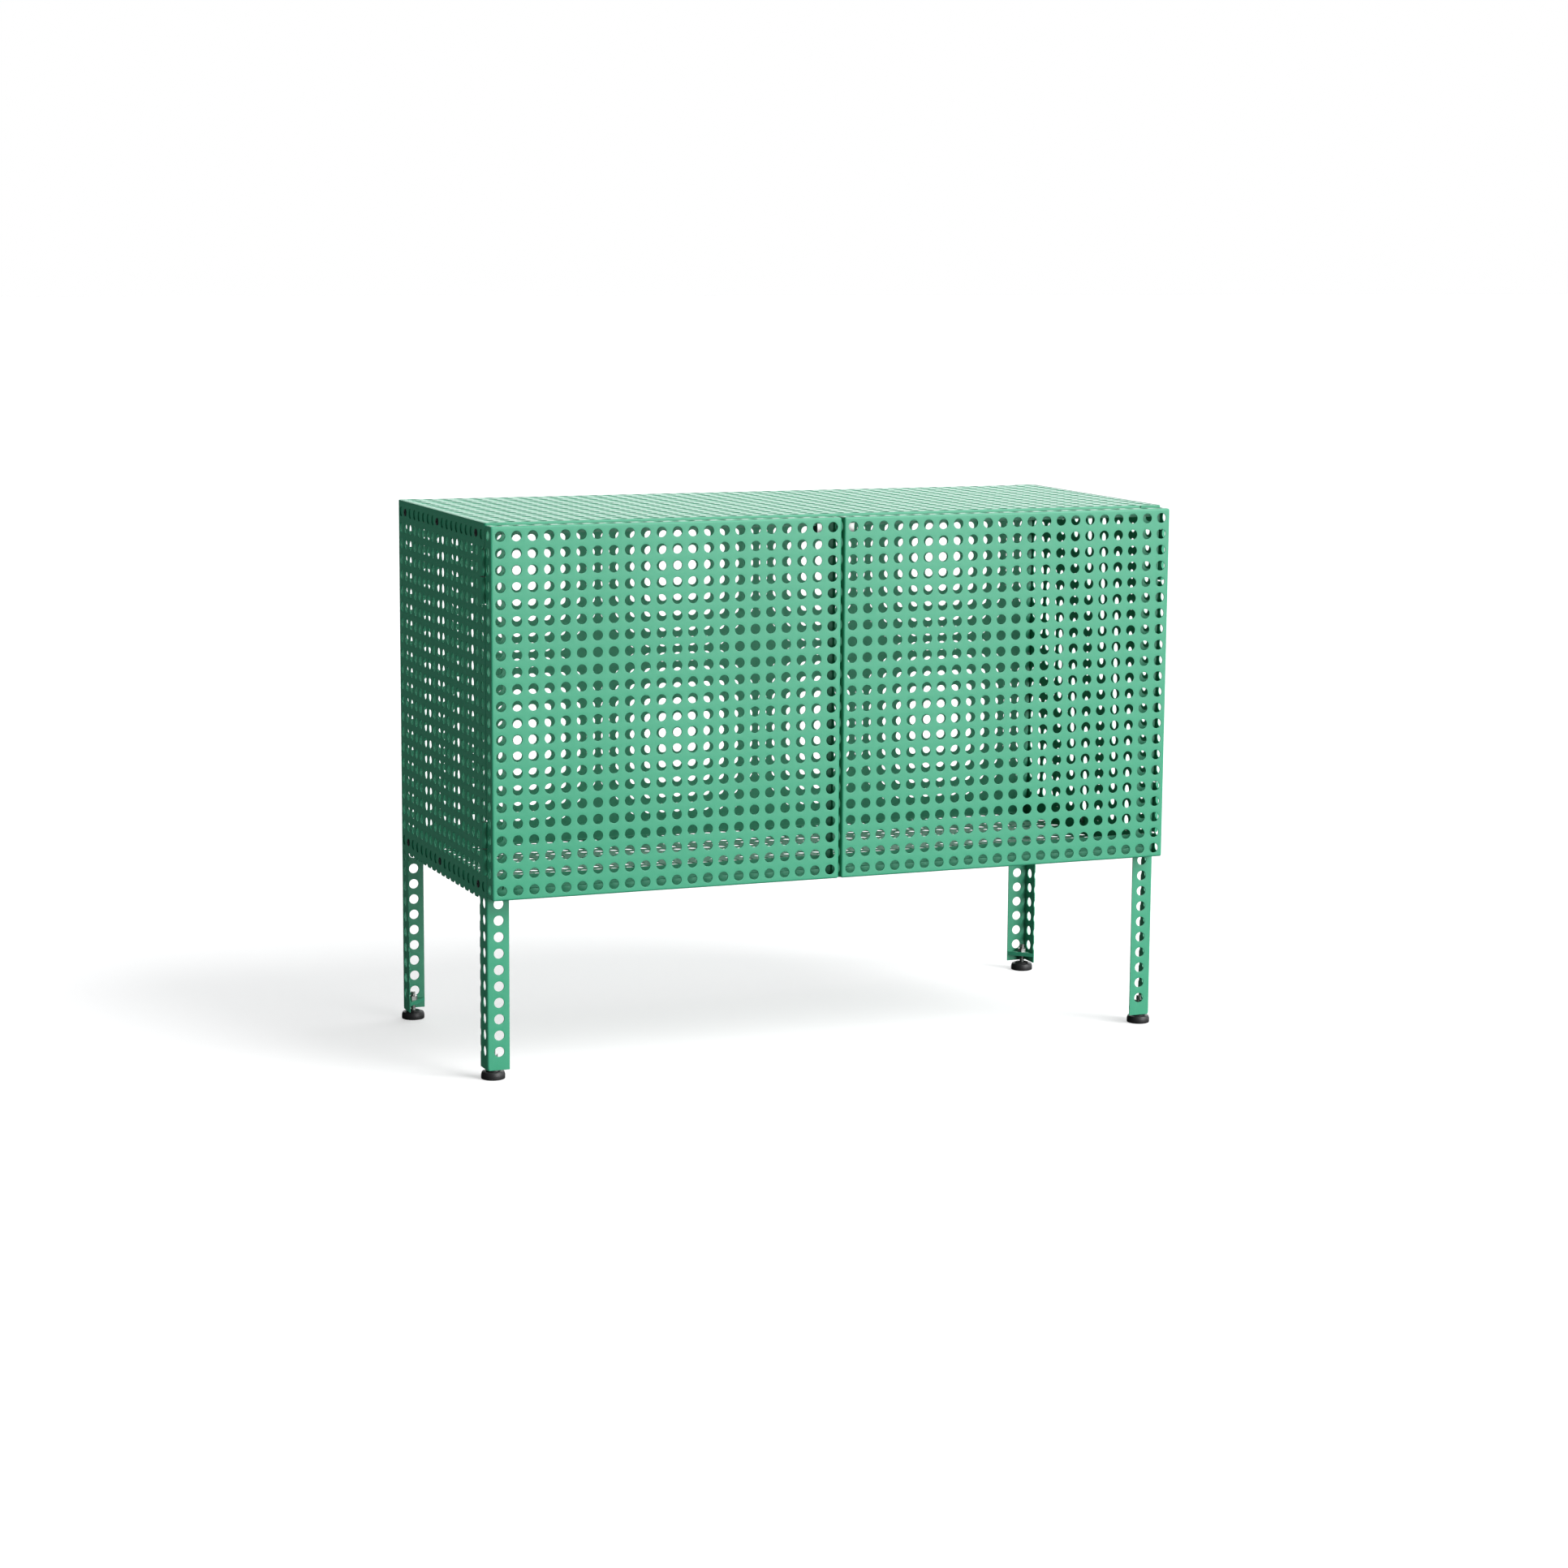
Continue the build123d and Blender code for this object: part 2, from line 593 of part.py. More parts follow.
for end_name, end_y, inward in (
    ("front", frame_front_y, 1),
    ("rear", frame_rear_y, -1),
):
    for side_name, side in (("left", -1), ("right", 1)):
        corner = f"{end_name}_{side_name}"
        axis_spot = [(side * (half_width - foot_inset), end_y + inward * foot_inset)]
        with BuildPart() as foot_plate:
            with BuildSketch(level(plate_bottom_z)) as gusset:
                with BuildLine():
                    Polyline(
                        (side * (half_width - plate_near), end_y + inward * plate_near),
                        (side * (half_width - plate_far), end_y + inward * plate_near),
                        (side * (half_width - plate_near), end_y + inward * plate_far),
                        close=True,
                    )
                make_face()
                corner_spot = (side * (half_width - plate_near), end_y + inward * plate_near)
                fillet(
                    gusset.vertices().sort_by_distance(corner_spot)[0],
                    radius=bend_radius - frame_sheet,
                )
            extrude(amount=foot_plate_thickness)
            punch(
                level(plate_top_z),
                axis_spot,
                stud_radius + foot_plate_hole_clearance,
                foot_plate_thickness,
            )
        finish(foot_plate.part, f"{corner}_foot_plate")

        with BuildPart() as foot_nut:
            with BuildSketch(level(plate_top_z)):
                with Locations(*axis_spot):
                    RegularPolygon(foot_nut_across_flats / 2, 6, major_radius=False)
                    Circle(stud_radius + stud_bore_clearance, mode=Mode.SUBTRACT)
            extrude(amount=foot_nut_height)
        finish(foot_nut.part, f"{corner}_foot_nut")

        with BuildPart() as foot:
            with BuildSketch(Plane.XZ) as foot_profile:
                with BuildLine():
                    Polyline(
                        (0, 0),
                        (foot_radius, 0),
                        (foot_radius, foot_straight_height),
                        (foot_top_radius, foot_height),
                        (neck_radius, foot_height),
                        (neck_radius, foot_height + neck_height),
                        (0, foot_height + neck_height),
                        close=True,
                    )
                make_face()
                fillet(
                    foot_profile.vertices().group_by(Axis.X)[2:],
                    radius=foot_edge_radius,
                )
            revolve(axis=Axis.Z)
            punch(
                level(foot_height + neck_height), [(0, 0)], stud_radius + thread_gap, stud_embed
            )
        finish(foot.part.moved(Location((*axis_spot[0], 0))), f"{corner}_foot")

        with BuildPart() as foot_stud:
            studs(level(stud_bottom_z), axis_spot, stud_radius, stud_top_z - stud_bottom_z)
            chamfer(foot_stud.edges().sort_by(Axis.Z)[-1], length=stud_chamfer)
        finish(foot_stud.part, f"{corner}_foot_stud")

print("overall", cabinet_width, overall_depth, overall_height)
print("rows", len(rows_z), "door columns", len(door_columns_x), "columns", len(columns_x))
print("frame columns", len(columns_y), "leg rows", len(leg_rows_z))
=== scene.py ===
# %% [markdown]
# A low cabinet of perforated sheet steel stands on four angle legs. Every wall of it is one sheet,
# punched all over with round holes on a square grid, folded at its edges and powder coated green.
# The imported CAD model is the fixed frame: it says where each piece is and how big it is. This
# lesson loads it, then remakes the sheets, hinges, screws and feet with finer edges, in place.

import json
import math

import bmesh
import bpy
from mathutils import Matrix, Vector


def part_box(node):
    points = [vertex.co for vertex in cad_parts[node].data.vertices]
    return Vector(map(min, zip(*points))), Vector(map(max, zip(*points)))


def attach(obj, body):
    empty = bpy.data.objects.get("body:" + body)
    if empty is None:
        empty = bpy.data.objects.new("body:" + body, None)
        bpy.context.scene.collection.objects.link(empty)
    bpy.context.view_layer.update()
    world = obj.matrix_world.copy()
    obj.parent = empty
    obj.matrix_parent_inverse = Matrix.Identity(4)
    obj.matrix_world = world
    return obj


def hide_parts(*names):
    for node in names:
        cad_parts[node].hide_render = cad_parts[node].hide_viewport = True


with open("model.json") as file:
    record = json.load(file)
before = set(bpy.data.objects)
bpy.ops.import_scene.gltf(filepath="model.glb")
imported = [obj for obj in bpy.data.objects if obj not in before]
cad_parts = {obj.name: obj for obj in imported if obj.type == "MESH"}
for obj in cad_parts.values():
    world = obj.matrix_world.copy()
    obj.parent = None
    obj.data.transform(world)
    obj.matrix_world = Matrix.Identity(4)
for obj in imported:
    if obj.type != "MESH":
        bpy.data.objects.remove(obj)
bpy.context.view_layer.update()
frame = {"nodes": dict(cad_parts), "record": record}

# %% [markdown]
# A few shop sizes drive everything that is made here. They are the punching pattern, the sheet
# thicknesses and the radius that the press brake leaves on the outside of a bend. Every place is
# read from the frame's boxes, so a piece lands where its CAD node is.

# %% Shop sizes
MM = 0.001
PITCH = 20.0 * MM
HOLE_RADIUS = 6.2 * MM
HOLE_LAND = 4.0 * MM
FRAME_SHEET = 1.5 * MM
PANEL_SHEET = 1.2 * MM
BEND_RADIUS = 2.2 * MM
RIM_ROUNDING = 0.28 * MM
FUSE = 0.02 * MM
SIDES = {"left": -1, "right": 1}


def hole_row(low, high):
    """Centres of the holes that fit between two edges, spread about the middle."""
    least = HOLE_RADIUS + HOLE_LAND
    count = int((high - low - 2 * least) / PITCH + 1e-6) + 1
    first = (low + high) / 2 - PITCH * (count - 1) / 2
    return [first + PITCH * index for index in range(count)]


frame_low, frame_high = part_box("side_frame_left")
door_low, door_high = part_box("left_door")
top_low, top_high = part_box("top_panel")
ROWS_Z = hole_row(door_low.z, door_high.z)
COLUMNS_Y = hole_row(frame_low.y, frame_high.y)
COLUMNS_X = hole_row(top_low.x, top_high.x)
print("rows", len(ROWS_Z), "columns across", len(COLUMNS_X), "columns deep", len(COLUMNS_Y))

# %% [markdown]
# The camera comes first, because it decides what has to look right. It stands well back and a
# little above the cabinet with a long lens, so the doors, the left side and a sliver of the top
# show. It is turned by its own angles, and the lens isn't shifted.

# %% Camera
camera_data = bpy.data.cameras.new("studio_camera")
camera = bpy.data.objects.new("studio_camera", camera_data)
bpy.context.scene.collection.objects.link(camera)
bpy.context.scene.camera = camera
camera_place = Vector((-1.6634, -4.1069, 1.0208))
camera_turn = math.radians(22.108)
camera_tilt = math.radians(9.117)
camera_lean = math.radians(0.410)
camera.matrix_world = (
    Matrix.Translation(camera_place)
    @ Matrix.Rotation(-camera_turn, 4, "Z")
    @ Matrix.Rotation(math.pi / 2 - camera_tilt, 4, "X")
    @ Matrix.Rotation(camera_lean, 4, "Z")
)
camera_data.sensor_width = 36.0
camera_data.lens = 80.84
camera_data.clip_start = 0.05
camera_data.clip_end = 200.0
print("camera at", [round(c, 3) for c in camera_place], "lens", camera_data.lens)

# %% [markdown]
# The studio is a wide pale floor under a white surround. The floor could be a curved sweep, but a
# flat one that runs far past the view does the same work and keeps the shadow simple. The surround
# looks white to the camera, but it lights the cabinet from the right only, so the left side of the
# cabinet stays dark and deep in colour, as beside a black flag in a studio.

# %% Floor and surround
studio = bmesh.new()
bmesh.ops.create_grid(studio, x_segments=8, y_segments=8, size=40.0)
floor_mesh = bpy.data.meshes.new("studio_floor")
studio.to_mesh(floor_mesh)
studio.free()
floor = bpy.data.objects.new("studio_floor", floor_mesh)
bpy.context.scene.collection.objects.link(floor)

surround = bpy.data.worlds.new("white_surround")
bpy.context.scene.world = surround
surround.use_nodes = True
surround_nodes = surround.node_tree.nodes
surround_links = surround.node_tree.links
surround_seen = surround_nodes["Background"]
surround_seen.inputs["Color"].default_value = (1.0, 1.0, 1.0, 1.0)
surround_seen.inputs["Strength"].default_value = 1.0
surround_fill = surround_nodes.new("ShaderNodeBackground")
surround_fill.inputs["Color"].default_value = (0.97, 0.985, 1.0, 1.0)
surround_place = surround_nodes.new("ShaderNodeTexCoord")
surround_split = surround_nodes.new("ShaderNodeSeparateXYZ")
surround_side = surround_nodes.new("ShaderNodeMapRange")
surround_side.interpolation_type = "SMOOTHSTEP"
surround_side.inputs["From Min"].default_value = -0.20
surround_side.inputs["From Max"].default_value = 0.55
surround_side.inputs["To Min"].default_value = 0.02
surround_side.inputs["To Max"].default_value = 1.50
surround_links.new(surround_place.outputs["Generated"], surround_split.inputs["Vector"])
surround_links.new(surround_split.outputs["X"], surround_side.inputs["Value"])
surround_links.new(surround_side.outputs["Result"], surround_fill.inputs["Strength"])
surround_path = surround_nodes.new("ShaderNodeLightPath")
surround_mix = surround_nodes.new("ShaderNodeMixShader")
surround_links.new(surround_path.outputs["Is Camera Ray"], surround_mix.inputs["Fac"])
surround_links.new(surround_fill.outputs["Background"], surround_mix.inputs[1])
surround_links.new(surround_seen.outputs["Background"], surround_mix.inputs[2])
surround_links.new(surround_mix.outputs["Shader"], surround_nodes["World Output"].inputs["Surface"])
bpy.context.scene.view_settings.view_transform = "Standard"
print("floor", floor.name, "surround", surround.name)

# %% [markdown]
# One broad key comes from the front right and above, so the doors and the top are lit and a soft
# shadow falls back to the left. It is a sun with a wide angle, because that lights the whole floor
# evenly. Four soft boxes help it. The front one evens out the doors, and the top one the top. The
# left one lifts the shaded side without a glare on it. The rear one is seen only as a sheen on the
# top, which faces it at a low angle.


# %% Lights
def aim_lamp(name, light, place, aim):
    """Hang a light at a place and turn it towards its aim."""
    lamp = bpy.data.objects.new(name, light)
    bpy.context.scene.collection.objects.link(lamp)
    facing = (Vector(aim) - Vector(place)).to_track_quat("-Z", "Y").to_matrix().to_4x4()
    lamp.matrix_world = Matrix.Translation(place) @ facing
    return lamp


def soft_box(name, width, height, watts, place, aim):
    """Hang a rectangular soft box."""
    light = bpy.data.lights.new(name, "AREA")
    light.shape = "RECTANGLE"
    light.size = width
    light.size_y = height
    light.energy = watts
    return aim_lamp(name, light, place, aim)


key_light = bpy.data.lights.new("key_light", "SUN")
key_light.energy = 2.9
key_light.angle = math.radians(34.0)
aim_lamp("key_light", key_light, (2.4, -2.7, 3.4), (0.0, 0.0, 0.3))
soft_box("front_soft_box", 2.6, 2.2, 130.0, (1.9, -4.4, 0.9), (0.0, -0.2, 0.4))
soft_box("top_soft_box", 3.0, 2.0, 8.0, (0.8, 2.6, 2.6), (0.0, 0.0, 0.6))
left_lamp = soft_box("left_fill", 2.4, 1.2, 11.0, (-2.7, 0.2, 0.7), (0.0, 0.0, 0.42))
left_lamp.visible_glossy = False
rear_lamp = soft_box("rear_soft_box", 4.5, 2.0, 50.0, (2.0, 5.0, 1.75), (0.0, 0.0, 0.6))
rear_lamp.visible_camera = False
rear_lamp.visible_diffuse = False

# %% [markdown]
# Powder coat, moulded plastic and plated steel all have a fine skin and a slow change of tone, at
# different scales. One shader group makes both from the surface's own coordinates: a fine grain
# for the bump and the gloss, and a broad mottle for the colour. Each finish places the group with
# its own sizes.


# %% Shared surface groups
def make_skin_group():
    """Fine grain and broad mottle, from a vector and their two scales."""
    group = bpy.data.node_groups.new("coated_skin", "ShaderNodeTree")
    face = group.interface
    face.new_socket(name="Vector", in_out="INPUT", socket_type="NodeSocketVector")
    face.new_socket(name="Grain Scale", in_out="INPUT", socket_type="NodeSocketFloat")
    face.new_socket(name="Mottle Scale", in_out="INPUT", socket_type="NodeSocketFloat")
    face.new_socket(name="Grain", in_out="OUTPUT", socket_type="NodeSocketFloat")
    face.new_socket(name="Mottle", in_out="OUTPUT", socket_type="NodeSocketFloat")
    nodes, links = group.nodes, group.links
    source = nodes.new("NodeGroupInput")
    result = nodes.new("NodeGroupOutput")
    grain = nodes.new("ShaderNodeTexNoise")
    grain.inputs["Detail"].default_value = 3.0
    grain.inputs["Roughness"].default_value = 0.55
    mottle = nodes.new("ShaderNodeTexNoise")
    mottle.inputs["Detail"].default_value = 2.0
    mottle.inputs["Roughness"].default_value = 0.5
    links.new(source.outputs["Vector"], grain.inputs["Vector"])
    links.new(source.outputs["Vector"], mottle.inputs["Vector"])
    links.new(source.outputs["Grain Scale"], grain.inputs["Scale"])
    links.new(source.outputs["Mottle Scale"], mottle.inputs["Scale"])
    links.new(grain.outputs["Fac"], result.inputs["Grain"])
    links.new(mottle.outputs["Fac"], result.inputs["Mottle"])
    return group


def make_handling_group():
    """Faint scuffs: thin broken streaks that only a few places show."""
    group = bpy.data.node_groups.new("handling_marks", "ShaderNodeTree")
    face = group.interface
    face.new_socket(name="Vector", in_out="INPUT", socket_type="NodeSocketVector")
    face.new_socket(name="Streak Scale", in_out="INPUT", socket_type="NodeSocketFloat")
    face.new_socket(name="Marks", in_out="OUTPUT", socket_type="NodeSocketFloat")
    nodes, links = group.nodes, group.links
    source = nodes.new("NodeGroupInput")
    result = nodes.new("NodeGroupOutput")
    streak = nodes.new("ShaderNodeTexNoise")
    streak.inputs["Detail"].default_value = 5.0
    streak.inputs["Distortion"].default_value = 1.6
    gate = nodes.new("ShaderNodeMapRange")
    gate.inputs["From Min"].default_value = 0.60
    gate.inputs["From Max"].default_value = 0.72
    links.new(source.outputs["Vector"], streak.inputs["Vector"])
    links.new(source.outputs["Streak Scale"], streak.inputs["Scale"])
    links.new(streak.outputs["Fac"], gate.inputs["Value"])
    links.new(gate.outputs["Result"], result.inputs["Marks"])
    return group


skin_group = make_skin_group()
handling_group = make_handling_group()
print("groups", skin_group.name, handling_group.name)

# %% [markdown]
# Each finish is a Principled shader that the two groups feed. The mottle leans the colour between
# two close tones, the grain moves the roughness and drives a shallow bump, and the handling marks
# dull it in places. Values that are the same all over sit on the shader itself.


# %% Finish builder
def coated_finish(
    name, tone, other_tone, gloss, rough, grain_scale, mottle_scale, bump_depth, metal=0.0
):
    """Material whose colour runs between two tones and whose roughness runs from gloss to rough."""
    finish = bpy.data.materials.new(name)
    finish.use_nodes = True
    finish.diffuse_color = (*tone, 1.0)
    nodes, links = finish.node_tree.nodes, finish.node_tree.links
    shader = nodes["Principled BSDF"]
    shader.inputs["Metallic"].default_value = metal
    place = nodes.new("ShaderNodeTexCoord")
    skin = nodes.new("ShaderNodeGroup")
    skin.node_tree = skin_group
    skin.inputs["Grain Scale"].default_value = grain_scale
    skin.inputs["Mottle Scale"].default_value = mottle_scale
    marks = nodes.new("ShaderNodeGroup")
    marks.node_tree = handling_group
    marks.inputs["Streak Scale"].default_value = mottle_scale * 3.0
    colour = nodes.new("ShaderNodeMix")
    colour.data_type = "RGBA"
    colour.inputs["A"].default_value = (*tone, 1.0)
    colour.inputs["B"].default_value = (*other_tone, 1.0)
    roughness = nodes.new("ShaderNodeMapRange")
    roughness.inputs["From Min"].default_value = 0.3
    roughness.inputs["From Max"].default_value = 0.7
    roughness.inputs["To Min"].default_value = gloss
    roughness.inputs["To Max"].default_value = rough
    dulled = nodes.new("ShaderNodeMath")
    dulled.operation = "MULTIPLY_ADD"
    dulled.inputs[1].default_value = 0.05
    bump = nodes.new("ShaderNodeBump")
    bump.inputs["Strength"].default_value = 0.35
    bump.inputs["Distance"].default_value = bump_depth
    links.new(place.outputs["Object"], skin.inputs["Vector"])
    links.new(place.outputs["Object"], marks.inputs["Vector"])
    links.new(skin.outputs["Mottle"], colour.inputs["Factor"])
    links.new(skin.outputs["Grain"], roughness.inputs["Value"])
    links.new(marks.outputs["Marks"], dulled.inputs[0])
    links.new(roughness.outputs["Result"], dulled.inputs[2])
    links.new(colour.outputs["Result"], shader.inputs["Base Color"])
    links.new(dulled.outputs["Value"], shader.inputs["Roughness"])
    links.new(skin.outputs["Grain"], bump.inputs["Height"])
    links.new(bump.outputs["Normal"], shader.inputs["Normal"])
    return finish


# %% [markdown]
# The steel is powder coated in a satin green. The feet and the catch are moulded black plastic,
# the side screws are black, and the studs, nuts, washers and strike plates are zinc plated.

# %% Finishes
green_coat = coated_finish(
    "green_powder_coat",
    tone=(0.030, 0.286, 0.159),
    other_tone=(0.037, 0.305, 0.171),
    gloss=0.36,
    rough=0.50,
    grain_scale=1400.0,
    mottle_scale=9.0,
    bump_depth=0.00004,
)
black_plastic = coated_finish(
    "black_moulded_plastic",
    tone=(0.012, 0.012, 0.013),
    other_tone=(0.02, 0.02, 0.021),
    gloss=0.42,
    rough=0.6,
    grain_scale=1800.0,
    mottle_scale=60.0,
    bump_depth=0.00005,
)
black_steel = coated_finish(
    "black_screw_finish",
    tone=(0.014, 0.015, 0.016),
    other_tone=(0.028, 0.029, 0.03),
    gloss=0.3,
    rough=0.46,
    grain_scale=1600.0,
    mottle_scale=90.0,
    bump_depth=0.00002,
)
zinc_plate = coated_finish(
    "zinc_plate",
    tone=(0.36, 0.37, 0.37),
    other_tone=(0.46, 0.46, 0.44),
    gloss=0.30,
    rough=0.48,
    grain_scale=1500.0,
    mottle_scale=70.0,
    bump_depth=0.00002,
    metal=1.0,
)
ferrite = coated_finish(
    "grey_ferrite",
    tone=(0.035, 0.035, 0.038),
    other_tone=(0.055, 0.055, 0.057),
    gloss=0.55,
    rough=0.75,
    grain_scale=1200.0,
    mottle_scale=80.0,
    bump_depth=0.00004,
)
FINISH_OF_SLOT = {
    "powder_coat_green": green_coat,
    "black_plastic": black_plastic,
    "black_oxide_steel": black_steel,
    "zinc_plated_steel": zinc_plate,
    "ferrite_magnet": ferrite,
}
print("finishes", [m.name for m in FINISH_OF_SLOT.values()])

# %% [markdown]
# The floor is matt and pale. A little light of its own, which only the camera sees, lifts it and
# its shadow to the pale tones of a product studio. To the cabinet it is a darker floor: a share of
# its tone comes back up as soft light, and almost none of it as a glare on the shaded side.

# %% Floor finish
FLOOR_LIFT = 0.50
FLOOR_BOUNCE = 0.30
floor_finish = bpy.data.materials.new("pale_studio_floor")
floor_finish.use_nodes = True
floor_nodes = floor_finish.node_tree.nodes
floor_links = floor_finish.node_tree.links
floor_shader = floor_nodes["Principled BSDF"]
floor_shader.inputs["Roughness"].default_value = 0.8
floor_shader.inputs["Specular IOR Level"].default_value = 0.2
floor_place = floor_nodes.new("ShaderNodeTexCoord")
floor_skin = floor_nodes.new("ShaderNodeGroup")
floor_skin.node_tree = skin_group
floor_skin.inputs["Grain Scale"].default_value = 60.0
floor_skin.inputs["Mottle Scale"].default_value = 0.4
floor_tone = floor_nodes.new("ShaderNodeMix")
floor_tone.data_type = "RGBA"
floor_tone.inputs["A"].default_value = (0.52, 0.52, 0.52, 1.0)
floor_tone.inputs["B"].default_value = (0.54, 0.54, 0.54, 1.0)
floor_seen = floor_nodes.new("ShaderNodeMix")
floor_seen.data_type = "RGBA"
floor_seen.inputs["A"].default_value = (0.05, 0.05, 0.05, 1.0)
floor_path = floor_nodes.new("ShaderNodeLightPath")
floor_share = floor_nodes.new("ShaderNodeMath")
floor_share.operation = "MULTIPLY_ADD"
floor_share.inputs[1].default_value = FLOOR_BOUNCE
floor_lift = floor_nodes.new("ShaderNodeMath")
floor_lift.operation = "MULTIPLY"
floor_lift.inputs[1].default_value = FLOOR_LIFT
floor_links.new(floor_place.outputs["Object"], floor_skin.inputs["Vector"])
floor_links.new(floor_skin.outputs["Mottle"], floor_tone.inputs["Factor"])
floor_links.new(floor_path.outputs["Is Diffuse Ray"], floor_share.inputs[0])
floor_links.new(floor_path.outputs["Is Camera Ray"], floor_share.inputs[2])
floor_links.new(floor_share.outputs["Value"], floor_seen.inputs["Factor"])
floor_links.new(floor_tone.outputs["Result"], floor_seen.inputs["B"])
floor_links.new(floor_seen.outputs["Result"], floor_shader.inputs["Base Color"])
floor_links.new(floor_path.outputs["Is Camera Ray"], floor_lift.inputs[0])
floor_links.new(floor_lift.outputs["Value"], floor_shader.inputs["Emission Strength"])
floor_shader.inputs["Emission Color"].default_value = (1.0, 1.0, 1.0, 1.0)
floor_mesh.materials.append(floor_finish)
print("floor finish", floor_finish.name)

# %% [markdown]
# The CAD nodes that keep their own shape, such as the foot plates, nuts, pins and catch, get the
# finish of their slot. Their meshes aren't touched: only the object's material slots are set.

# %% Dress the CAD nodes
for row in frame["record"]["subparts"]:
    cad_node = frame["nodes"][row["node"]]
    for place in cad_node.material_slots:
        place.link = "OBJECT"
        place.material = FINISH_OF_SLOT[row["material_slot"]]

# %% [markdown]
# A new piece is finished in the same few steps each time. Its mesh becomes an object at the
# origin, a Solidify gives a sheet its thickness inward from the outer face, and a small Bevel
# rounds the punched and cut rims as paint does. Weighted normals keep the flat faces flat.


# %% Piece finisher
def finish_piece(name, shape, body, slot, nodes, thickness=0.0, rounding=0.0):
    """Turn a bmesh into a finished piece that rides on a body and stands for CAD nodes."""
    mesh = bpy.data.meshes.new(name)
    shape.normal_update()
    shape.to_mesh(mesh)
    shape.free()
    piece = bpy.data.objects.new(name, mesh)
    bpy.context.scene.collection.objects.link(piece)
    mesh.materials.append(FINISH_OF_SLOT[slot])
    if thickness:
        wall = piece.modifiers.new("sheet_thickness", "SOLIDIFY")
        wall.thickness = thickness
        wall.offset = -1.0
        wall.use_even_offset = True
        wall.use_quality_normals = True
    if rounding:
        mesh.polygons.foreach_set("use_smooth", [True] * len(mesh.polygons))
        rim = piece.modifiers.new("painted_rims", "BEVEL")
        rim.width = rounding
        rim.segments = 1
        rim.limit_method = "ANGLE"
        rim.angle_limit = math.radians(40.0)
        rim.use_clamp_overlap = False
        normals = piece.modifiers.new("flat_faces", "WEIGHTED_NORMAL")
        normals.keep_sharp = True
    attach(piece, body)
    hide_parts(*nodes)
    return piece


def smooth_but_edges(piece, sharp_degrees):
    """Shade a turned piece smooth, and keep the edges sharp that turn more than an angle."""
    piece.data.polygons.foreach_set("use_smooth", [True] * len(piece.data.polygons))
    piece.data.set_sharp_from_angle(angle=math.radians(sharp_degrees))
    return piece


def report(piece):
    """Print a piece's name, faces and size, as it will be seen."""
    seen = piece.evaluated_get(bpy.context.evaluated_depsgraph_get())
    triangles = sum(len(p.vertices) - 2 for p in seen.data.polygons)
    print(piece.name, "triangles", triangles, "size", [round(c, 4) for c in seen.dimensions])


# %% [markdown]
# A punched wall is hundreds of equal cells. One cell is a circle whose edges are extruded outward
# and pushed onto a square, which leaves a ring of faces round a hole. The cell is copied along the
# row, the row is copied up the wall, and the outermost lines are slid out to the wall's edges.


# %% Punched wall
def points_of(geometry):
    """The points among the parts of some geometry."""
    return [part for part in geometry if isinstance(part, bmesh.types.BMVert)]


def copy_along(sheet, geometry, steps):
    """Copy geometry once for each step, and return it all."""
    made = list(geometry)
    for step in steps:
        twin = bmesh.ops.duplicate(sheet, geom=geometry)["geom"]
        bmesh.ops.translate(sheet, vec=step, verts=points_of(twin))
        made += twin
    return made


def slide_line(wall, axis, line, target):
    """Slide the points that lie on a line across an axis to a new place on that axis."""
    for point in wall.verts:
        if abs(point.co[axis] - line) < FUSE:
            point.co[axis] = target


def punched_wall(columns, rows, left, right, low, high, corners=20):
    """Flat wall in its own X and Y, facing +Z, with a hole at each column and row."""
    wall = bmesh.new()
    half_step = Matrix.Rotation(math.pi / corners, 4, "Z")
    bmesh.ops.create_circle(wall, segments=corners, radius=HOLE_RADIUS, matrix=half_step)
    ring = bmesh.ops.extrude_edge_only(wall, edges=wall.edges[:])["geom"]
    for point in points_of(ring):
        point.co *= PITCH / 2 / max(abs(point.co.x), abs(point.co.y))
    wall.normal_update()
    wall.faces.ensure_lookup_table()
    if wall.faces[0].normal.z < 0:
        bmesh.ops.reverse_faces(wall, faces=wall.faces)
    bmesh.ops.translate(wall, vec=(columns[0], rows[0], 0), verts=wall.verts)
    cell = wall.verts[:] + wall.edges[:] + wall.faces[:]
    row = copy_along(wall, cell, [Vector((x - columns[0], 0, 0)) for x in columns[1:]])
    copy_along(wall, row, [Vector((0, y - rows[0], 0)) for y in rows[1:]])
    bmesh.ops.remove_doubles(wall, verts=wall.verts, dist=FUSE)
    slide_line(wall, 0, columns[0] - PITCH / 2, left)
    slide_line(wall, 0, columns[-1] + PITCH / 2, right)
    slide_line(wall, 1, rows[0] - PITCH / 2, low)
    slide_line(wall, 1, rows[-1] + PITCH / 2, high)
    return wall


two = [0.0, PITCH]
sample = punched_wall(two, two, -PITCH, 2 * PITCH, -PITCH, 2 * PITCH)
print("four cells have", len(sample.faces), "faces")
sample.free()

# %% [markdown]
# Walls are made flat and then stood up, as sheets are cut flat and then folded. The walls of one
# sheet meet along shared lines, so their points are merged, and the sharp lines where they meet
# are bevelled into round bends. Flanges without holes are extruded from the open edges.

# %% Stand, fold and cut
X = Vector((1, 0, 0))
Y = Vector((0, 1, 0))
Z = Vector((0, 0, 1))


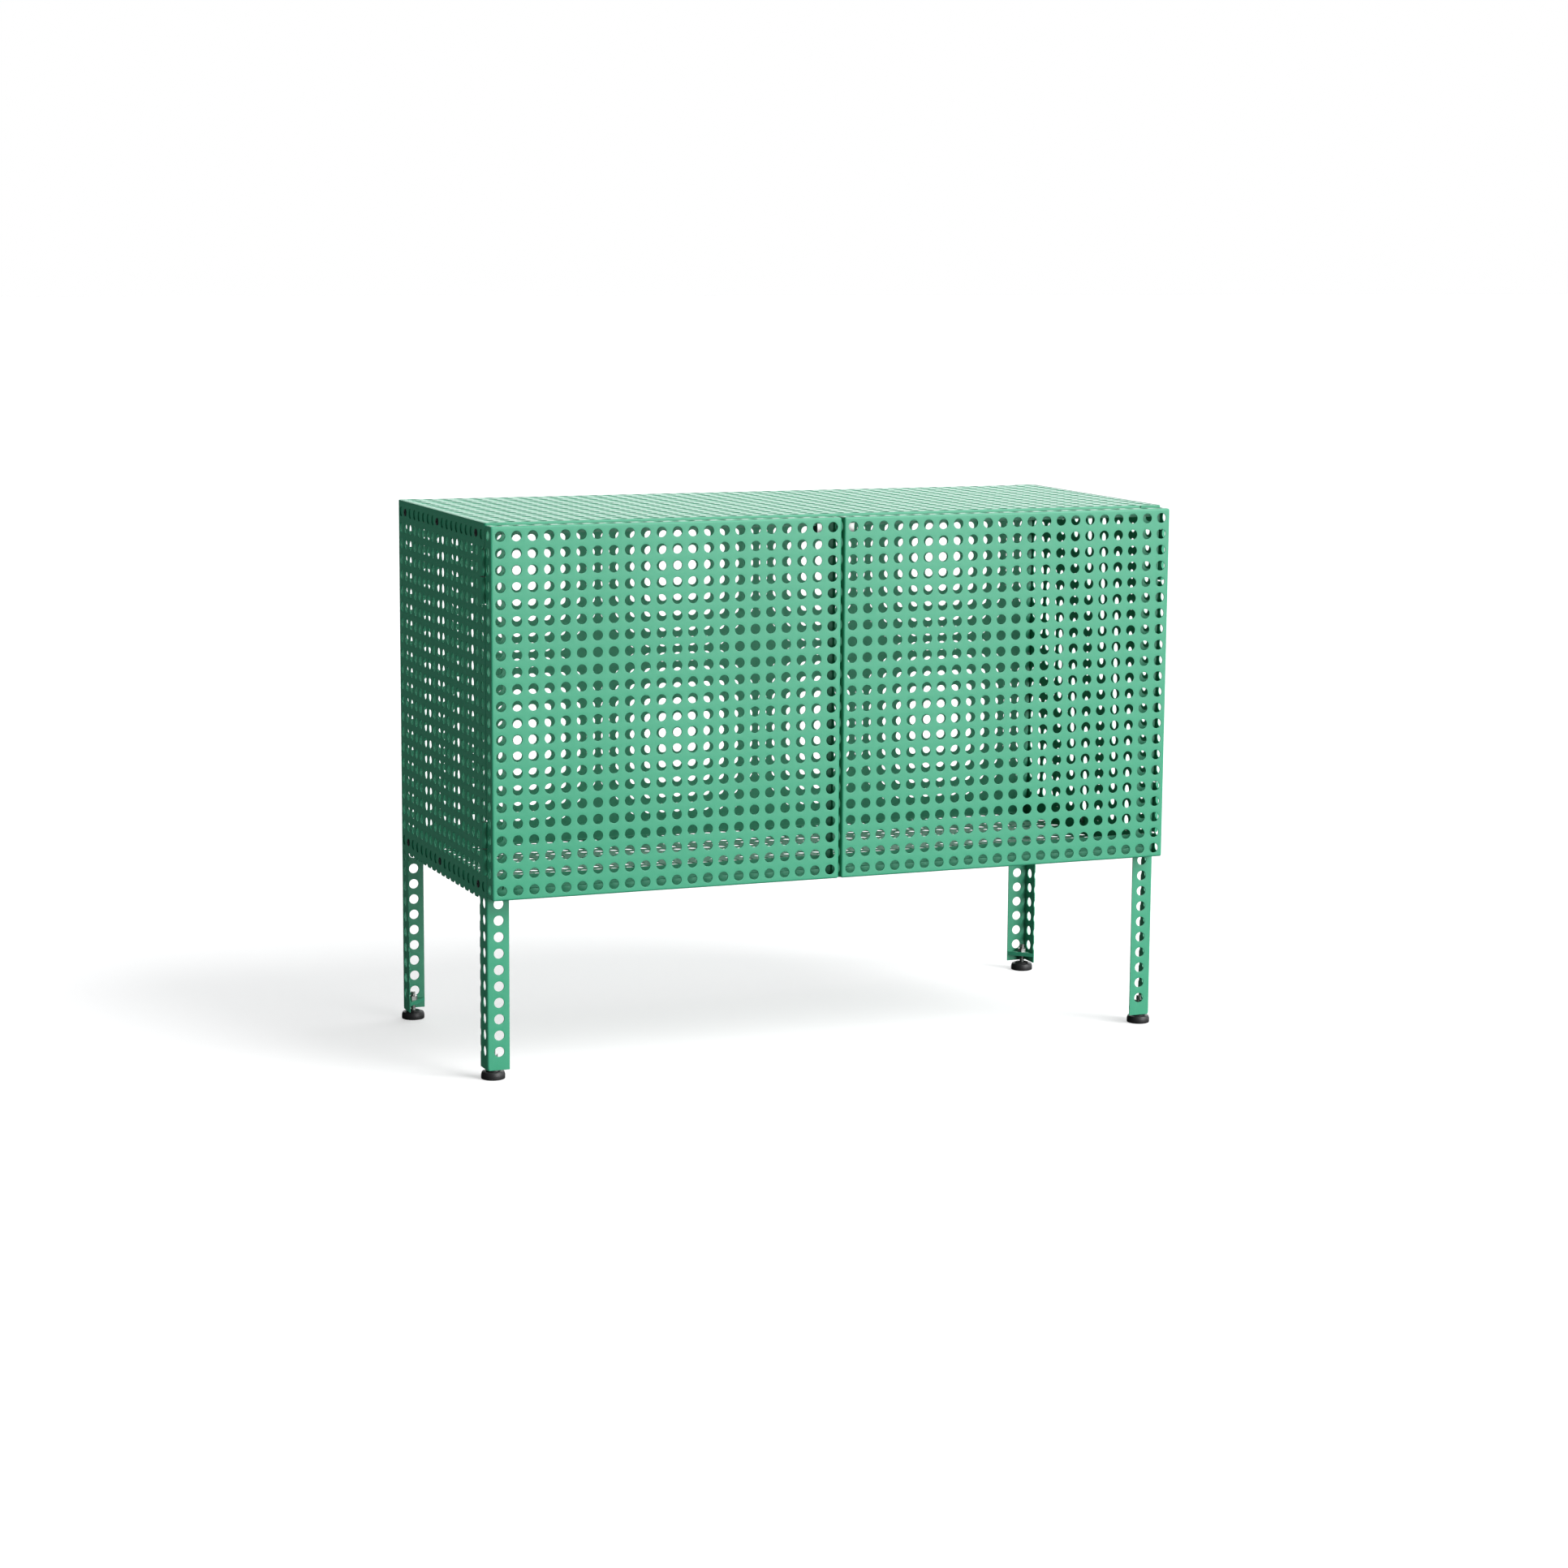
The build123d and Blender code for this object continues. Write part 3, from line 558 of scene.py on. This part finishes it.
def stand(sheet, wall, across, up, outward, distance):
    """Add a flat wall to the sheet, facing outward at a distance from the origin."""
    place = Matrix((across, up, outward)).transposed().to_4x4()
    place.translation = outward * distance
    bmesh.ops.transform(wall, matrix=place, verts=wall.verts)
    if place.determinant() < 0:
        bmesh.ops.reverse_faces(wall, faces=wall.faces)
    loose = bpy.data.meshes.new("loose_wall")
    wall.to_mesh(loose)
    wall.free()
    sheet.from_mesh(loose)
    bpy.data.meshes.remove(loose)


def open_edges(sheet, is_on):
    """Edges with one face whose two points both pass a test."""
    return [e for e in sheet.edges if e.is_boundary and all(is_on(v.co) for v in e.verts)]


def draw_out(sheet, edges, reach):
    """Extrude open edges and move the new ones, and return the new points."""
    new = points_of(bmesh.ops.extrude_edge_only(sheet, edges=edges)["geom"])
    bmesh.ops.translate(sheet, vec=reach, verts=new)
    return new


FOLD_ANGLE = math.radians(69.0)
SLICE_TOLERANCE = 1e-7


def round_bends(sheet):
    """Bevel each sharp fold into a round bend."""
    sheet.normal_update()
    folds = [e for e in sheet.edges if len(e.link_faces) == 2 and e.calc_face_angle() > FOLD_ANGLE]
    bmesh.ops.bevel(
        sheet,
        geom=folds,
        offset=BEND_RADIUS,
        affect="EDGES",
        segments=4,
        profile=0.5,
        material=-1,
        clamp_overlap=False,
    )
    return len(folds)


def faces_between(sheet, low, high):
    """Faces whose middle lies in the box between two corners."""
    return [
        face
        for face in sheet.faces
        if all(a < c < b for a, c, b in zip(low, face.calc_center_median(), high))
    ]


def cut_window(sheet, low, high):
    """Cut a box-shaped window through the sheet: slice it at the box's planes, then lift it out."""
    middle = (low + high) / 2
    margin = Vector((PITCH, PITCH, PITCH)) * 1.5
    near = faces_between(sheet, low - margin, high + margin)
    for axis in range(3):
        for plane in (low[axis], high[axis]):
            point = middle.copy()
            point[axis] = plane
            normal = Vector((0, 0, 0))
            normal[axis] = 1.0
            near = [face for face in near if face.is_valid]
            edges = {edge for face in near for edge in face.edges}
            points = {point for face in near for point in face.verts}
            cut = bmesh.ops.bisect_plane(
                sheet,
                geom=list(points) + list(edges) + near,
                dist=SLICE_TOLERANCE,
                plane_co=point,
                plane_no=normal,
            )
            near = [part for part in cut["geom"] if isinstance(part, bmesh.types.BMFace)]
    inside = faces_between(sheet, low, high)
    bmesh.ops.delete(sheet, geom=inside, context="FACES")
    return len(inside)


# %% [markdown]
# Both sheets at a hinge are notched so that the barrel can sit in the seam. The notch is a small
# window round the hinge axis, a little longer than the two knuckles.

# %% Hinge notches
NOTCH_SIDE_GAP = 0.6 * MM
NOTCH_END_GAP = 1.5 * MM
barrel_spans = {}
for side_name in SIDES:
    for level_name in ("upper", "lower"):
        hinge = f"{side_name}_{level_name}_hinge"
        lower_low, lower_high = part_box(f"{hinge}_frame_knuckle")
        upper_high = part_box(f"{hinge}_door_knuckle")[1]
        outer_x = lower_low.x if side_name == "left" else lower_high.x
        barrel_spans[(side_name, level_name)] = (outer_x, lower_low.z, upper_high.z)
KNUCKLE_RADIUS = 4.0 * MM
HINGE_Y = (door_high.y + frame_low.y) / 2
print("barrels", {key: [round(c, 4) for c in span] for key, span in barrel_spans.items()})


def notch_for_hinges(sheet, side_name):
    """Cut the two notches of one side of the cabinet."""
    reach = KNUCKLE_RADIUS + NOTCH_SIDE_GAP
    for level_name in ("upper", "lower"):
        outer_x, low_z, high_z = barrel_spans[(side_name, level_name)]
        axis_x = outer_x - math.copysign(KNUCKLE_RADIUS, outer_x)
        low = Vector((axis_x - reach, HINGE_Y - reach, low_z - NOTCH_END_GAP))
        high = Vector((axis_x + reach, HINGE_Y + reach, high_z + NOTCH_END_GAP))
        cut_window(sheet, low, high)


# %% [markdown]
# A side frame is one tall channel: a web with a flange at the front and one at the rear. The web
# and both flanges are punched from top to toe, and the piece between the legs is then cut away,
# which leaves an angle leg at each end. The screws' cells are closed, since the heads cover them.

# %% Side frames
LEG_FACE = 28.0 * MM
LEG_END_LAND = 21.0 * MM
leg_row_count = int((ROWS_Z[0] - frame_low.z - LEG_END_LAND) / PITCH)
LEG_ROWS_Z = [ROWS_Z[0] - PITCH * (leg_row_count - index) for index in range(leg_row_count)]
BACK_EDGE_GAP = 0.5 * MM
PANEL_LOW_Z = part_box("back_panel")[0].z - BACK_EDGE_GAP
SCREW_Y = [COLUMNS_Y[1], COLUMNS_Y[len(COLUMNS_Y) // 2], COLUMNS_Y[-2]]
SCREW_Z = [ROWS_Z[0], ROWS_Z[-1]]


def close_screw_cells(sheet, x):
    """Fill the punched hole at each side screw, where only the screw's own hole is cut."""
    reach = 1.05 * HOLE_RADIUS
    spots = [Vector((x, y, z)) for y in SCREW_Y for z in SCREW_Z]
    rings = [open_edges(sheet, lambda place: (place - spot).length < reach) for spot in spots]
    for ring in rings:
        bmesh.ops.contextual_create(sheet, geom=ring)


def side_frame(side_name):
    """One folded side sheet with its two legs."""
    side = SIDES[side_name]
    low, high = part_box(f"side_frame_{side_name}")
    outer_x = low.x if side < 0 else high.x
    hole_x = side * COLUMNS_X[-1]
    flange_span = sorted((outer_x, outer_x - side * LEG_FACE))
    rows = LEG_ROWS_Z + ROWS_Z
    sheet = bmesh.new()
    web = punched_wall(COLUMNS_Y, rows, low.y, high.y, low.z, high.z)
    stand(sheet, web, Y, Z, X * side, abs(outer_x))
    for outward, distance in ((-Y, -low.y), (Y, high.y)):
        flange = punched_wall([hole_x], rows, *flange_span, low.z, high.z)
        stand(sheet, flange, X, Z, outward, distance)
    bmesh.ops.remove_doubles(sheet, verts=sheet.verts, dist=FUSE)
    close_screw_cells(sheet, outer_x)
    folds = round_bends(sheet)
    gap_low = Vector((outer_x - PITCH, low.y + LEG_FACE, low.z - PITCH))
    gap_high = Vector((outer_x + PITCH, high.y - LEG_FACE, PANEL_LOW_Z))
    lifted = cut_window(sheet, gap_low, gap_high)
    notch_for_hinges(sheet, side_name)
    print("side frame", side_name, "fold edges", folds, "faces between the legs", lifted)
    return finish_piece(
        f"side_frame_{side_name}_sheet",
        sheet,
        "carcass",
        "powder_coat_green",
        [f"side_frame_{side_name}"],
        FRAME_SHEET,
        RIM_ROUNDING,
    )


for side_name in SIDES:
    report(side_frame(side_name))

# %% [markdown]
# A door is a shallow pan: a punched face, four punched edges folded back, and a narrow lip folded
# in behind them. The lip is the open rim extruded inward and held inside a smaller rectangle,
# which mitres its corners. All the folds are bevelled together, so each corner closes as a ball.

# %% Doors
DOOR_LIP = 9.0 * MM


def door_sheet(side_name):
    """One door, folded back and in at its edges."""
    low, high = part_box(f"{side_name}_door")
    columns = hole_row(low.x, high.x)
    edge_row = [(low.y + high.y) / 2]
    sheet = bmesh.new()
    stand(sheet, punched_wall(columns, ROWS_Z, low.x, high.x, low.z, high.z), X, Z, -Y, -low.y)
    for outward, distance in ((-X, -low.x), (X, high.x)):
        edge = punched_wall(edge_row, ROWS_Z, low.y, high.y, low.z, high.z)
        stand(sheet, edge, Y, Z, outward, distance)
    for outward, distance in ((-Z, -low.z), (Z, high.z)):
        edge = punched_wall(columns, edge_row, low.x, high.x, low.y, high.y)
        stand(sheet, edge, X, Y, outward, distance)
    bmesh.ops.remove_doubles(sheet, verts=sheet.verts, dist=FUSE)
    rim = open_edges(sheet, lambda spot: abs(spot.y - high.y) < FUSE)
    for point in draw_out(sheet, rim, Vector((0, 0, 0))):
        point.co.x = min(max(point.co.x, low.x + DOOR_LIP), high.x - DOOR_LIP)
        point.co.z = min(max(point.co.z, low.z + DOOR_LIP), high.z - DOOR_LIP)
    bmesh.ops.remove_doubles(sheet, verts=sheet.verts, dist=FUSE)
    folds = round_bends(sheet)
    notch_for_hinges(sheet, side_name)
    print(side_name, "door fold edges", folds)
    return finish_piece(
        f"{side_name}_door_sheet",
        sheet,
        f"{side_name}_door",
        "powder_coat_green",
        [f"{side_name}_door"],
        PANEL_SHEET,
        RIM_ROUNDING,
    )


for side_name in SIDES:
    report(door_sheet(side_name))

# %% [markdown]
# The top is a pan folded downward and the bottom is a tray folded upward. Only their broad faces
# are punched. Their plain flanges are drawn out of the face's open edges in two steps, because
# two of the four are deeper than the others.

# %% Top, bottom and back
TOP_END_FLANGE = 14.5 * MM
TRAY_FLANGE = 22.0 * MM


def is_on_side(spot, low, high):
    """True on the left or right side of a box."""
    return min(abs(spot.x - low.x), abs(spot.x - high.x)) < FUSE


def is_on_outline(spot, low, high):
    """True on the outer rectangle of a flat face."""
    on_end = min(abs(spot.y - low.y), abs(spot.y - high.y)) < FUSE
    return on_end or is_on_side(spot, low, high)


def top_sheet():
    """The top, folded down all round and deeper at its sides."""
    low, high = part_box("top_panel")
    face = punched_wall(COLUMNS_X, COLUMNS_Y, low.x, high.x, low.y, high.y)
    sheet = bmesh.new()
    stand(sheet, face, X, Y, Z, high.z)
    outline = open_edges(sheet, lambda spot: is_on_outline(spot, low, high))
    draw_out(sheet, outline, -Z * TOP_END_FLANGE)
    rim_z = high.z - TOP_END_FLANGE
    sides = open_edges(
        sheet, lambda spot: abs(spot.z - rim_z) < FUSE and is_on_side(spot, low, high)
    )
    draw_out(sheet, sides, Z * (low.z - rim_z))
    round_bends(sheet)
    return finish_piece(
        "top_panel_sheet",
        sheet,
        "carcass",
        "powder_coat_green",
        ["top_panel"],
        PANEL_SHEET,
        RIM_ROUNDING,
    )


def bottom_sheet():
    """The bottom, folded up all round and deeper at its front."""
    low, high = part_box("bottom_panel")
    face = punched_wall(COLUMNS_X, COLUMNS_Y, low.x, high.x, low.y, high.y)
    sheet = bmesh.new()
    stand(sheet, face, X, Y, -Z, -low.z)
    outline = open_edges(sheet, lambda spot: is_on_outline(spot, low, high))
    draw_out(sheet, outline, Z * TRAY_FLANGE)
    rim_z = low.z + TRAY_FLANGE
    front = open_edges(
        sheet, lambda spot: abs(spot.z - rim_z) < FUSE and abs(spot.y - low.y) < FUSE
    )
    draw_out(sheet, front, Z * (high.z - rim_z))
    round_bends(sheet)
    return finish_piece(
        "bottom_panel_sheet", sheet, "carcass", "powder_coat_green", ["bottom_panel"], PANEL_SHEET
    )


def back_sheet():
    """The flat back, with coarser holes because it is seen only through others."""
    low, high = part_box("back_panel")
    face = punched_wall(COLUMNS_X, ROWS_Z, low.x, high.x, low.z, high.z, corners=12)
    sheet = bmesh.new()
    stand(sheet, face, X, Z, Y, high.y)
    return finish_piece(
        "back_panel_sheet", sheet, "carcass", "powder_coat_green", ["back_panel"], PANEL_SHEET
    )


for piece in (top_sheet(), bottom_sheet(), back_sheet()):
    report(piece)

# %% [markdown]
# Turned pieces, such as the knuckles, pads and screw heads, start as a half profile: a few points
# joined in a line and spun round an axis. One helper does this for all of them.


# %% Turned pieces
def turned(profile, centre, steps=48):
    """Spin a half profile of (radius, height) points about an upright axis, and close it."""
    shape = bmesh.new()
    points = [shape.verts.new((radius, 0, height)) for radius, height in profile]
    edges = [shape.edges.new(pair) for pair in zip(points, points[1:])]
    bmesh.ops.spin(
        shape,
        geom=points + edges,
        cent=(0, 0, 0),
        axis=(0, 0, 1),
        angle=2 * math.pi,
        steps=steps,
        use_merge=True,
    )
    bmesh.ops.remove_doubles(shape, verts=shape.verts, dist=FUSE / 4)
    bmesh.ops.recalc_face_normals(shape, faces=shape.faces)
    bmesh.ops.translate(shape, vec=centre, verts=shape.verts)
    return shape


def rounded_profile(radius, low, high, rounding):
    """Half profile of a bar with rounded ends."""
    turns = [math.radians(angle) for angle in (0, 22.5, 45, 67.5, 90)]
    centre = radius - rounding
    lower = [
        (centre + rounding * math.sin(t), low + rounding - rounding * math.cos(t)) for t in turns
    ]
    upper = [
        (centre + rounding * math.cos(t), high - rounding + rounding * math.sin(t)) for t in turns
    ]
    return [(0.0, low)] + lower + upper + [(0.0, high)]


# %% [markdown]
# Each hinge is a lift-off barrel in two knuckles. The lower one is welded to the side frame and
# holds the pin; the upper one is welded to the door and turns on it. A knuckle is a turned barrel,
# a narrow weld rib into the notch, and a row of small overlapping weld beads along the rib.

# %% Hinge knuckles
KNUCKLE_ROUNDING = 0.5 * MM
WELD_BEAD_RADIUS = 1.1 * MM
WELD_BEAD_STEP = 1.7 * MM
WELD_BEAD_SQUASH = Matrix.Diagonal((0.55, 0.8, 1.0, 1.0))
WELD_SEAM_OFFSET = 4.1 * MM
WELD_END_GAP = 1.0 * MM
HINGE_OUTSET = 1.5 * MM
RIB_ROOT = 1.5 * MM
RIB_ROUNDING = 0.15 * MM


def add_block(shape, low, high, rounding):
    """Add a small block with rounded edges between two corners."""
    size = high - low
    block = bmesh.ops.create_cube(shape, size=1.0)["verts"]
    bmesh.ops.scale(shape, vec=size, verts=block)
    bmesh.ops.translate(shape, vec=(low + high) / 2, verts=block)
    edges = list({edge for point in block for edge in point.link_edges})
    bmesh.ops.bevel(
        shape,
        geom=edges,
        offset=rounding,
        affect="EDGES",
        segments=2,
        profile=0.5,
        material=-1,
    )


def add_weld(shape, x, y, low_z, high_z):
    """Add overlapping round beads up a seam."""
    count = int((high_z - low_z) / WELD_BEAD_STEP)
    for index in range(count):
        centre = Matrix.Translation((x, y, low_z + WELD_BEAD_STEP * (index + 0.5)))
        bmesh.ops.create_icosphere(
            shape, subdivisions=2, radius=WELD_BEAD_RADIUS, matrix=centre @ WELD_BEAD_SQUASH
        )


def hinge_knuckle(side_name, level_name, owner):
    """One knuckle with its rib and weld: the frame's reaches to the rear, the door's forward."""
    side = SIDES[side_name]
    node = f"{side_name}_{level_name}_hinge_{owner}_knuckle"
    low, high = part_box(node)
    outer_x = low.x if side < 0 else high.x
    axis_x = outer_x - side * KNUCKLE_RADIUS
    profile = rounded_profile(KNUCKLE_RADIUS, low.z, high.z, KNUCKLE_ROUNDING)
    shape = turned(profile, Vector((axis_x, HINGE_Y, 0)), 40)
    if owner == "frame":
        thickness = FRAME_SHEET
        rib_y = (HINGE_Y + RIB_ROOT, high.y)
        weld_y = HINGE_Y + WELD_SEAM_OFFSET
    else:
        thickness = PANEL_SHEET
        rib_y = (low.y, HINGE_Y - RIB_ROOT)
        weld_y = HINGE_Y - WELD_SEAM_OFFSET
    face_x = axis_x - side * HINGE_OUTSET
    rib_x = sorted((face_x, face_x - side * thickness))
    rib_low = Vector((rib_x[0], rib_y[0], low.z))
    rib_high = Vector((rib_x[1], rib_y[1], high.z))
    add_block(shape, rib_low, rib_high, RIB_ROUNDING)
    weld_low, weld_high = low.z + WELD_END_GAP, high.z - WELD_END_GAP
    add_weld(shape, face_x - side * thickness, weld_y, weld_low, weld_high)
    body = "carcass" if owner == "frame" else f"{side_name}_door"
    piece = finish_piece(f"{node}_barrel", shape, body, "powder_coat_green", [node])
    return smooth_but_edges(piece, 40.0)


for side_name in SIDES:
    for level_name in ("upper", "lower"):
        for owner in ("frame", "door"):
            report(hinge_knuckle(side_name, level_name, owner))

# %% [markdown]
# The side screws are low button heads with a hexagon socket. The head is turned with an open top,
# its inner ring is extruded inward onto a hexagon and then down, and the floor of the socket is
# filled. The shank behind it is a plain turned bar. All twelve are copies of one.

# %% Side screws
HEAD_RADIUS = 4.65 * MM
HEAD_HEIGHT = 1.4 * MM
SHANK_RADIUS = 2.5 * MM
SHANK_LENGTH = 8.0 * MM
SOCKET_APOTHEM = 1.5 * MM
SOCKET_DEPTH = 0.9 * MM
SOCKET_RIM = 1.35
HEAD_EDGE_SHARE = 0.35
SHANK_CHAMFER = 0.5 * MM
TURN_BY_PLACE = Vector((0.0, 40.0, 23.0))


def button_screw():
    """One screw along +Z, its head standing on Z = 0."""
    ring_radius = SOCKET_RIM * SOCKET_APOTHEM
    dome = []
    for index in range(7):
        turn = math.pi / 2 * index / 6
        radius = ring_radius + (HEAD_RADIUS - ring_radius) * math.sin(turn)
        rise = HEAD_EDGE_SHARE + (1.0 - HEAD_EDGE_SHARE) * math.cos(turn)
        dome.append((radius, HEAD_HEIGHT * rise))
    shank = [
        (HEAD_RADIUS, 0.0),
        (SHANK_RADIUS, 0.0),
        (SHANK_RADIUS, -SHANK_LENGTH + SHANK_CHAMFER),
        (SHANK_RADIUS - SHANK_CHAMFER, -SHANK_LENGTH),
        (0.0, -SHANK_LENGTH),
    ]
    screw = turned(dome + shank, Vector((0, 0, 0)), 36)
    rim = [e for e in screw.edges if e.is_boundary]
    socket = points_of(bmesh.ops.extrude_edge_only(screw, edges=rim)["geom"])
    for point in socket:
        turn = math.atan2(point.co.y, point.co.x) % (math.pi / 3) - math.pi / 6
        point.co *= SOCKET_APOTHEM / math.cos(turn) / Vector((point.co.x, point.co.y)).length
        point.co.z = HEAD_HEIGHT
    mouth = [e for e in screw.edges if e.is_boundary]
    draw_out(screw, mouth, -Z * SOCKET_DEPTH)
    floor_ring = [e for e in screw.edges if e.is_boundary]
    bmesh.ops.contextual_create(screw, geom=floor_ring)
    bmesh.ops.recalc_face_normals(screw, faces=screw.faces)
    return screw


def side_screws():
    """All twelve screws, each with its socket turned a little differently."""
    screws = bmesh.new()
    face_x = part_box("side_frame_right")[1].x
    for side in SIDES.values():
        for y in SCREW_Y:
            for z in SCREW_Z:
                spot = Vector((side * face_x, y, z))
                stand_out = Matrix.Translation(spot)
                outward = Matrix.Rotation(side * math.pi / 2, 4, "Y")
                turn = Matrix.Rotation(spot.dot(TURN_BY_PLACE), 4, "Z")
                one = button_screw()
                bmesh.ops.transform(one, matrix=stand_out @ outward @ turn, verts=one.verts)
                loose = bpy.data.meshes.new("loose_screw")
                one.to_mesh(loose)
                one.free()
                screws.from_mesh(loose)
                bpy.data.meshes.remove(loose)
    piece = finish_piece(
        "side_screws_button_heads", screws, "carcass", "black_oxide_steel", ["side_screws"]
    )
    return smooth_but_edges(piece, 35.0)


report(side_screws())

# %% [markdown]
# Each foot is a moulded pad on a threaded stud. The pad is a turned profile with a soft shoulder
# and a raised neck. The stud's thread is one V of the profile spun up a helix, with its ends
# sliced flat and closed, so the turns of the thread are real.

# %% Feet
FOOT_NECK_RADIUS = 9.0 * MM
FOOT_SHOULDER_Z = 9.0 * MM
THREAD_PITCH = 1.0 * MM
THREAD_DEPTH = 0.45 * MM
THREAD_STEPS = 20


def foot_pad(corner):
    """The moulded pad of one foot."""
    low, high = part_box(f"{corner}_foot")
    centre = (low + high) / 2
    radius = (high.x - low.x) / 2
    shoulder = radius - 0.8 * MM
    profile = [
        (0.0, low.z),
        (radius - 0.9 * MM, low.z),
        (radius - 0.3 * MM, low.z + 0.25 * MM),
        (radius, low.z + 0.9 * MM),
        (radius, low.z + 4.9 * MM),
        (radius - 0.12 * MM, low.z + 5.7 * MM),
        (shoulder, FOOT_SHOULDER_Z - 1.0 * MM),
        (shoulder - 0.3 * MM, FOOT_SHOULDER_Z - 0.3 * MM),
        (shoulder - 0.9 * MM, FOOT_SHOULDER_Z),
        (FOOT_NECK_RADIUS + 0.4 * MM, FOOT_SHOULDER_Z),
        (FOOT_NECK_RADIUS, FOOT_SHOULDER_Z + 0.3 * MM),
        (FOOT_NECK_RADIUS, high.z - 0.4 * MM),
        (FOOT_NECK_RADIUS - 0.4 * MM, high.z),
        (3.0 * MM, high.z),
        (3.0 * MM, high.z - 1.0 * MM),
        (0.0, high.z - 1.0 * MM),
    ]
    pad = turned(profile, Vector((centre.x, centre.y, 0)), 64)
    piece = finish_piece(
        f"{corner}_foot_pad", pad, f"{corner}_levelling_foot", "black_plastic", [f"{corner}_foot"]
    )
    return smooth_but_edges(piece, 38.0)


def threaded_stud(corner):
    """The stud of one foot, with a real thread."""
    low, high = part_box(f"{corner}_foot_stud")
    centre = (low + high) / 2
    radius = (high.x - low.x) / 2
    root = radius - THREAD_DEPTH
    turns = int((high.z - low.z) / THREAD_PITCH) + 3
    start = low.z - THREAD_PITCH * 1.5
    stud = bmesh.new()
    profile = [
        (root, start),
        (radius, start + THREAD_PITCH * 0.45),
        (radius, start + THREAD_PITCH * 0.55),
        (root, start + THREAD_PITCH),
    ]
    points = [stud.verts.new((reach, 0, height)) for reach, height in profile]
    edges = [stud.edges.new(pair) for pair in zip(points, points[1:])]
    bmesh.ops.spin(
        stud,
        geom=points + edges,
        cent=(0, 0, 0),
        axis=(0, 0, 1),
        dvec=(0, 0, THREAD_PITCH / THREAD_STEPS),
        angle=2 * math.pi * turns,
        steps=THREAD_STEPS * turns,
    )
    bmesh.ops.remove_doubles(stud, verts=stud.verts, dist=FUSE)
    for height, normal in ((low.z, -Z), (high.z, Z)):
        everything = stud.verts[:] + stud.edges[:] + stud.faces[:]
        bmesh.ops.bisect_plane(
            stud,
            geom=everything,
            dist=SLICE_TOLERANCE,
            plane_co=(0, 0, height),
            plane_no=normal,
            clear_outer=True,
        )
    ends = [e for e in stud.edges if e.is_boundary]
    bmesh.ops.holes_fill(stud, edges=ends)
    bmesh.ops.recalc_face_normals(stud, faces=stud.faces)
    bmesh.ops.translate(stud, vec=(centre.x, centre.y, 0), verts=stud.verts)
    return finish_piece(
        f"{corner}_foot_thread",
        stud,
        f"{corner}_levelling_foot",
        "zinc_plated_steel",
        [f"{corner}_foot_stud"],
    )


for end_name in ("front", "rear"):
    for side_name in SIDES:
        report(foot_pad(f"{end_name}_{side_name}"))
        report(threaded_stud(f"{end_name}_{side_name}"))
